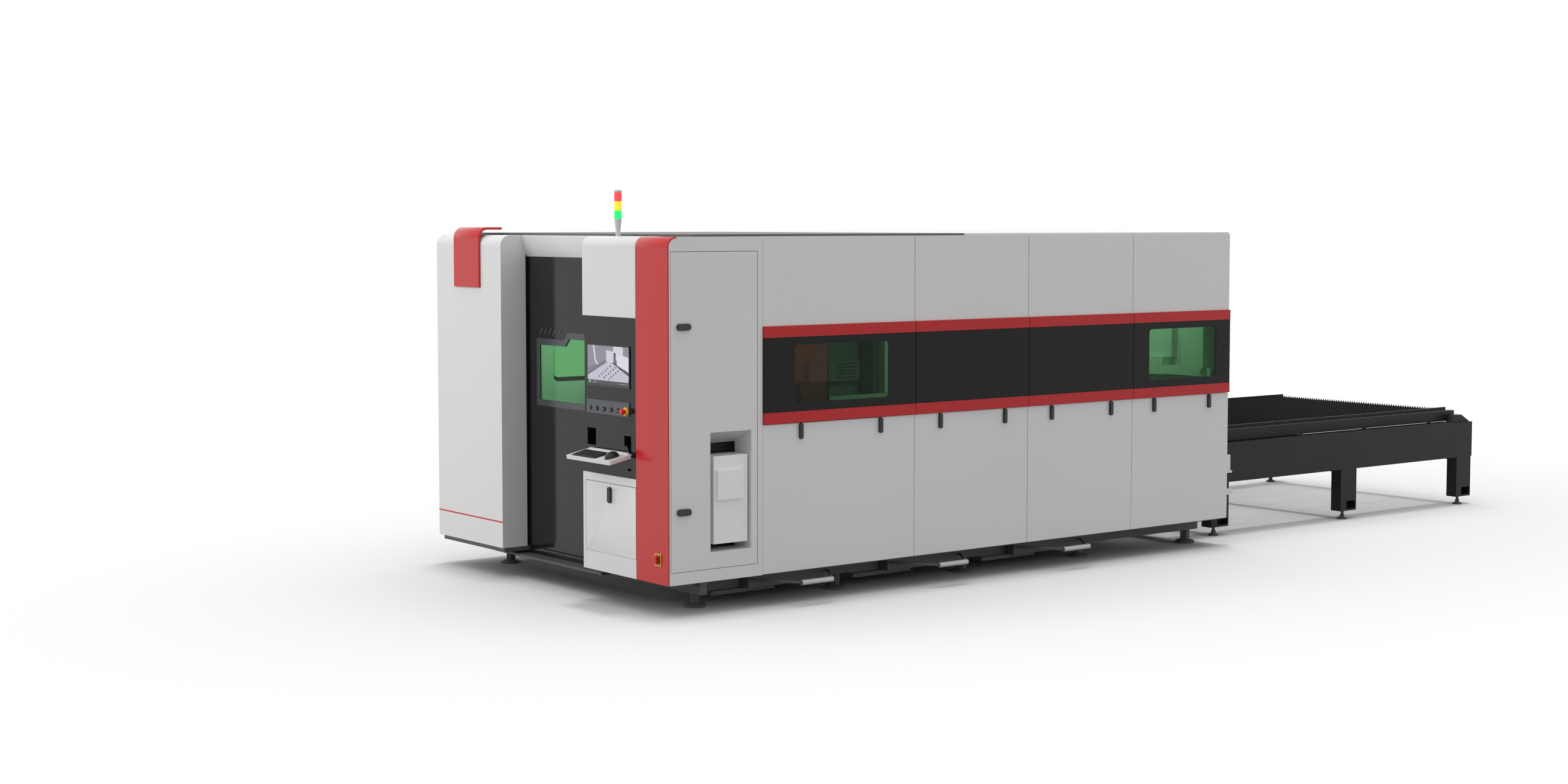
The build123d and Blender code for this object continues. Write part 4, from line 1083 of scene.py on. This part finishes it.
@dataclass
class Pallet:
    """Shuttle pallet with side angles, wheels behind them, slat rails and close rows of pointed slats."""

    node: str
    name: str
    slats: int = 46
    tooth_pitch: float = 0.024
    tooth: float = 0.026
    sheet: float = 0.004
    flange: float = 0.058
    web: float = 0.006
    web_foot: float = 0.008
    web_top: float = 0.092
    bar_foot: float = 0.007
    slat_foot: float = 0.029
    rail: float = 0.012
    rail_joints: tuple[float, float] = (2.186, 1.101)
    joint_gap: float = 0.004
    wheel: float = 0.025
    first_wheel: float = 0.26
    wheel_pitch: float = 0.85
    end_margin: float = 0.032
    end_bar: float = 0.040
    slat_margin: float = 0.120

    def build(self) -> None:
        """Makes the frame and the slats in the place of the pallet's node."""
        self.low, self.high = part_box(self.node)
        self.seat = self.low.z - 0.0003
        reach = self.flange + self.rail
        self.inner = (self.low.y + reach, self.high.y - reach)
        self.frame()
        self.slat_rows()

    def frame(self) -> None:
        """Side angles, wheels, slat rails in three lengths, end bars and long bars."""
        sculpt = Sculpt(f"{self.name}_frame")
        for face, inward in ((self.low.y, 1.0), (self.high.y, -1.0)):
            self.side(sculpt, face, inward)
        low, high, seat = self.low, self.high, self.seat
        near, far = self.inner
        foot = seat + self.bar_foot
        for start in (low.x + self.end_margin, high.x - self.end_margin - self.end_bar):
            end = (start + self.end_bar, far, seat + self.web_top)
            sculpt.block((start, near, foot), end, soft=0.002)
        for part in (0.25, 0.5, 0.75):
            y = near + (far - near) * part
            margin = self.end_margin + self.end_bar
            end = (high.x - margin, y + self.web, seat + self.slat_foot)
            sculpt.block((low.x + margin, y - self.web, foot), end, soft=0.001)
        sculpt.finish(Paint.TABLE, self.node, (self.node,))

    def side(self, sculpt: Sculpt, face: float, inward: float) -> None:
        """One side angle with its wheels and slat rails.

        Args:
            sculpt: Shape that takes the side.
            face: Outer face of the angle.
            inward: Direction to the pallet's middle, 1 or -1.
        """
        low, high, seat = self.low, self.high, self.seat
        back = face + self.web * inward
        lip = face + self.flange * inward
        foot, top = seat + self.web_foot, seat + self.web_top
        outline = [
            (low.x, face, foot),
            (low.x, back, foot),
            (low.x, back, top - self.web),
            (low.x, lip, top - self.web),
            (low.x, lip, top),
            (low.x, face, top),
        ]
        sculpt.prism(outline, (high.x - low.x, 0.0, 0.0))
        near, far = sorted((lip, lip + self.rail * inward))
        starts = [low.x + self.end_margin, *(high.x - joint for joint in self.rail_joints)]
        ends = [*starts[1:], high.x - self.end_margin]
        for start, end in zip(starts, ends):
            foot = (start, near, seat + self.slat_foot)
            sculpt.block(foot, (end - self.joint_gap, far, high.z), soft=0.001)
        tread = self.wheel
        hub = [(0.0, 0.0), (0.010, 0.0), (0.010, 0.006), (tread - 0.002, 0.006), (tread, 0.008)]
        rim = [(tread, 0.027), (tread - 0.002, 0.029), (0.0, 0.029)]
        for wheel in range(4):
            at = Vector((low.x + self.first_wheel + self.wheel_pitch * wheel, back, low.z + tread))
            axle = Matrix.Translation(at) @ Matrix.Rotation(-math.pi / 2 * inward, 4, "X")
            sculpt.turn(hub + rim, axle, 32)

    def slat_rows(self) -> None:
        """Rows of thin slats on edge, cut to points along the top."""
        near, far = self.inner
        foot, tip = self.seat + self.slat_foot, self.high.z - 0.003
        steps = 2 * round((far - near) / self.tooth_pitch)
        sculpt = Sculpt(f"{self.name}_slats")
        bmesh.ops.create_grid(sculpt.bm, x_segments=steps, y_segments=1, size=1.0)
        start = self.low.x + self.slat_margin
        for vert in sculpt.bm.verts:
            place = round((vert.co.x + 1) / 2 * steps)
            upper = tip if place % 2 else tip - self.tooth
            vert.co = (start, near + (far - near) * place / steps, upper if vert.co.y > 0 else foot)
        bmesh.ops.recalc_face_normals(sculpt.bm, faces=sculpt.bm.faces)
        bmesh.ops.solidify(sculpt.bm, geom=sculpt.bm.faces[:], thickness=self.sheet)
        first = sculpt.bm.verts[:] + sculpt.bm.edges[:] + sculpt.bm.faces[:]
        pitch = (self.high.x - self.low.x - 2 * self.slat_margin) / (self.slats - 1)
        for slat in range(1, self.slats):
            copied = bmesh.ops.duplicate(sculpt.bm, geom=first)["geom"]
            verts = [item for item in copied if isinstance(item, bmesh.types.BMVert)]
            bmesh.ops.translate(sculpt.bm, vec=(pitch * slat, 0.0, 0.0), verts=verts)
        sculpt.finish(Paint.SLATS, self.node)


@dataclass(frozen=True)
class SoftBox:
    """Area lamp, whose place and target are measured from the machine's front corner."""

    name: str
    place: tuple[float, float, float]
    target: tuple[float, float, float]
    size: tuple[float, float]
    watts: float
    on_floor: bool = False


SOFT_BOXES = (
    SoftBox("front_box", (-8.0, 4.0, 4.5), (0.0, 1.4, 1.1), (6.0, 4.0), 315),
    SoftBox("door_lamp", (1.0, 1.6, 2.1), (1.3, 2.7, 1.2), (1.0, 0.3), 17),
    SoftBox("rear_lamp", (4.2, 0.7, 2.1), (4.8, 0.9, 1.0), (0.8, 0.3), 6),
    SoftBox("middle_lamp", (2.7, 1.2, 2.1), (3.3, 2.7, 1.2), (0.8, 0.3), 9),
    SoftBox("top_box", (3.5, 1.4, 9.0), (3.5, 1.4, 0.0), (12.0, 8.0), 320, on_floor=True),
)


@dataclass
class Studio:
    """White floor and backdrop, soft light, and the camera of the photograph."""

    lens: float = 50.2
    shift: tuple[float, float] = (0.0019, -0.0200)
    camera_from_corner: tuple[float, float, float] = (-7.2374, -10.4811, 2.3338)
    yaw: float = 52.40
    pitch: float = 3.62
    floor_radius: float = 60.0
    floor_clear: tuple[float, float] = (0.9, 1.9)
    floor_spread: tuple[float, float, float] = (0.24, 0.4, 0.0)
    sky: float = 0.74
    floor_colour: str = "#BEBEBE"
    floor_bounce: str = "#7E7E7E"
    sun: tuple[float, float] = (1.3, 8.0)
    haze: tuple[float, float] = (1.3, 80.0)
    sun_way: tuple[float, float, float] = (-0.06, -0.05, -1.0)

    def build(self, corner: Vector) -> None:
        """Makes the floor, the lights and the camera.

        Args:
            corner: Floor point under the machine's front corner on the window side.
        """
        self.make_floor()
        self.make_sky()
        self.make_lamps(corner)
        self.make_camera(corner)

    def eye_rays(self, tree: bpy.types.NodeTree) -> bpy.types.NodeSocket:
        """Returns 1 for what the eye sees straight on, in gloss or through glass, else 0."""
        rays = add_node(tree, "LightPath").outputs
        straight = {0: rays["Is Camera Ray"], 1: rays["Is Glossy Ray"]}
        seen = add_node(tree, "Math", straight, operation="MAXIMUM")
        through = {0: seen.outputs[0], 1: rays["Is Transmission Ray"]}
        return add_node(tree, "Math", through, operation="MAXIMUM").outputs[0]

    def make_floor(self) -> None:
        """Pale floor that keeps the shadow near the machine and runs out to white."""
        bm = bmesh.new()
        bmesh.ops.create_circle(bm, cap_ends=True, segments=96, radius=self.floor_radius)
        mesh = bpy.data.meshes.new("floor")
        bm.to_mesh(mesh)
        bm.free()
        floor = bpy.data.objects.new("floor", mesh)
        bpy.context.scene.collection.objects.link(floor)
        material = bpy.data.materials.new("floor_paper")
        material.use_nodes = True
        tree = material.node_tree
        tree.nodes.clear()
        seen = self.eye_rays(tree)
        colours = {0: seen, 6: linear(self.floor_bounce), 7: linear(self.floor_colour)}
        tone = add_node(tree, "Mix", colours, data_type="RGBA")
        paper = add_node(tree, "BsdfDiffuse", {"Color": tone.outputs[2]})
        glow = add_node(tree, "Emission", {"Color": (1.0, 1.0, 1.0, 1.0), "Strength": 1.0})
        place = add_node(tree, "TexCoord").outputs["Object"]
        spread = add_node(tree, "VectorMath", {0: place, 1: self.floor_spread}, operation="MULTIPLY")
        reach = add_node(tree, "VectorMath", {0: spread.outputs[0]}, operation="LENGTH").outputs["Value"]
        start, end = self.floor_clear
        ends = {"Value": reach, "From Min": start, "From Max": end}
        fade = add_node(tree, "MapRange", ends, interpolation_type="SMOOTHSTEP")
        share = add_node(tree, "Math", {0: fade.outputs[0], 1: seen}, operation="MULTIPLY")
        both = {0: share.outputs[0], 1: paper.outputs[0], 2: glow.outputs[0]}
        mixed = add_node(tree, "MixShader", both)
        add_node(tree, "OutputMaterial", {"Surface": mixed.outputs[0]})
        mesh.materials.append(material)

    def make_sky(self) -> None:
        """Even light from all round, which looks white to the eye, in gloss and through glass."""
        world = bpy.data.worlds.new("studio_sky")
        bpy.context.scene.world = world
        world.use_nodes = True
        tree = world.node_tree
        tree.nodes.clear()
        levels = {"Value": self.eye_rays(tree), "To Min": self.sky, "To Max": 1.0}
        level = add_node(tree, "MapRange", levels).outputs[0]
        white = add_node(tree, "Background", {"Color": (1.0, 1.0, 1.0, 1.0), "Strength": level})
        add_node(tree, "OutputWorld", {"Surface": white.outputs[0]})

    def make_lamps(self, corner: Vector) -> None:
        """Soft boxes in front, overhead and inside the work chamber, and light from above for the floor."""
        for box in SOFT_BOXES:
            lamp = self.soft_box(box, corner)
            if not box.on_floor:
                self.link_floor(lamp, "EXCLUDE")
        self.link_floor(self.noon("sun", *self.sun), "INCLUDE")
        self.link_floor(self.noon("haze", *self.haze), "INCLUDE")

    def link_floor(self, lamp: bpy.types.Object, state: str) -> None:
        """Lets a lamp shine on the floor only ("INCLUDE") or on all but the floor ("EXCLUDE")."""
        receivers = bpy.data.collections.new(f"{lamp.name}_receivers")
        receivers.objects.link(bpy.data.objects["floor"])
        receivers.collection_objects[0].light_linking.link_state = state
        lamp.light_linking.receiver_collection = receivers

    def noon(self, name: str, strength: float, spread: float) -> bpy.types.Object:
        """Adds light from straight above, which draws the machine's shadow on the floor.

        Args:
            name: Lamp's name.
            strength: Light on the floor.
            spread: Angle that the light comes from, in degrees: the wider, the softer the shadow.

        Returns:
            The lamp.
        """
        light = bpy.data.lights.new(name, "SUN")
        light.energy = strength
        light.angle = math.radians(spread)
        lamp = bpy.data.objects.new(name, light)
        lamp.rotation_euler = Vector(self.sun_way).to_track_quat("-Z", "Y").to_euler()
        lamp.visible_glossy = False
        bpy.context.scene.collection.objects.link(lamp)
        return lamp

    def soft_box(self, box: SoftBox, corner: Vector) -> bpy.types.Object:
        """Adds an area lamp.

        Args:
            box: The lamp's place, size and power.
            corner: Floor point under the machine's front corner on the window side.

        Returns:
            The lamp.
        """
        light = bpy.data.lights.new(box.name, "AREA")
        light.shape = "RECTANGLE"
        light.size, light.size_y = box.size
        light.energy = box.watts
        lamp = bpy.data.objects.new(box.name, light)
        lamp.location = corner + Vector(box.place)
        way = corner + Vector(box.target) - lamp.location
        lamp.rotation_euler = way.to_track_quat("-Z", "Y").to_euler()
        lamp.visible_camera = False
        lamp.visible_glossy = False
        bpy.context.scene.collection.objects.link(lamp)
        return lamp

    def make_camera(self, corner: Vector) -> None:
        """Camera at the photograph's place, with its lens and framing."""
        camera = bpy.data.cameras.new("camera")
        camera.sensor_width = 36.0
        camera.sensor_fit = "HORIZONTAL"
        camera.lens = self.lens
        camera.shift_x, camera.shift_y = self.shift
        camera.clip_end = 200.0
        yaw, pitch = math.radians(self.yaw), math.radians(self.pitch)
        forward = Vector(
            (math.cos(yaw) * math.cos(pitch), math.sin(yaw) * math.cos(pitch), -math.sin(pitch))
        )
        eye = bpy.data.objects.new("camera", camera)
        eye.location = corner + Vector(self.camera_from_corner)
        eye.rotation_euler = forward.to_track_quat("-Z", "Y").to_euler()
        bpy.context.scene.collection.objects.link(eye)
        bpy.context.scene.camera = eye


FINISHES = (
    (
        Paint.WHITE,
        0.0015,
        "front_pillar door_header console_head console_base console_door keyboard_tray cabinet_frame "
        "cabinet_door upper_covers lower_panel_1 lower_panel_2 lower_panel_3 lower_panel_4 "
        "far_covers rear_wall",
    ),
    (Paint.UNIT, 0.003, "air_conditioner"),
    (Paint.RED, 0.0015, "corner_column pillar_ribbon"),
    (Paint.STRIPE, 0.0015, "band_stripes"),
    (Paint.BAND, 0.0015, "band_panels"),
    (Paint.CHARCOAL, 0.001, "sliding_door console_fascia door_tracks"),
    (Paint.SLATE, 0.002, "window_rim"),
    (Paint.PLATE, 0.002, "button_plate"),
    (Paint.ROOF, 0.002, "roof_panels"),
    (Paint.DARK_FRAME, 0.0, "enclosure_frame machine_bed gantry_bridge levelling_feet"),
    (Paint.DARK_FRAME, 0.0, "scrap_drawer_1 scrap_drawer_2 scrap_drawer_3"),
    (Paint.TABLE, 0.002, "table_frame"),
    (Paint.SLATS, 0.0, "pallet_upper pallet_lower"),
    (Paint.GREEN_GLASS, 0.0, "door_glass side_windows"),
    (Paint.BLACK_PLASTIC, 0.0, "cabinet_latch_upper cabinet_latch_lower console_latch keyboard mouse"),
    (Paint.BLACK_PLASTIC, 0.0, "button_1 button_2 button_3 button_4 button_5"),
    (Paint.GREY_PLASTIC, 0.0, "tower_mast control_gear"),
    (Paint.BEZEL, 0.001, "monitor"),
    (Paint.LAMP_RED, 0.0, "tower_lamps"),
    (Paint.RED_PLASTIC, 0.0, "estop_button main_switch"),
    (Paint.YELLOW_PLASTIC, 0.0, "estop_collar"),
    (Paint.OLIVE_PLASTIC, 0.0, "switch_plate"),
    (Paint.GROUND_STEEL, 0.0, "gantry_rails"),
    (Paint.ALUMINIUM, 0.0, "head_carriage head_lift cutting_head"),
)


def front_corner() -> Vector:
    """Point of the floor under the machine's front corner on the window side."""
    return Vector((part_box("front_pillar")[0].x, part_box("upper_covers")[0].y, 0.0))


def main() -> None:
    """Loads the frame, dresses every node, adds the fittings and sets up the studio."""
    logging.basicConfig(level=logging.INFO, format="%(name)s: %(message)s")
    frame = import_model()
    bpy.context.scene.view_settings.view_transform = "Standard"
    corner = front_corner()
    dresser = Dresser(frame["nodes"])
    for paint, soft, names in FINISHES:
        dresser.dress(paint, names, soft)
    Shell().build(corner)
    DoorVents().build(corner)
    ChamberFittings().build(corner)
    Latches().build()
    Screen().build()
    Controls().build()
    TrayTop().build(corner)
    SignalTower().build()
    DrawerGrips().build()
    Pallet("pallet_upper", "upper_pallet").build()
    Pallet("pallet_lower", "lower_pallet").build()
    Studio().build(corner)


if __name__ == "__main__":
    main()
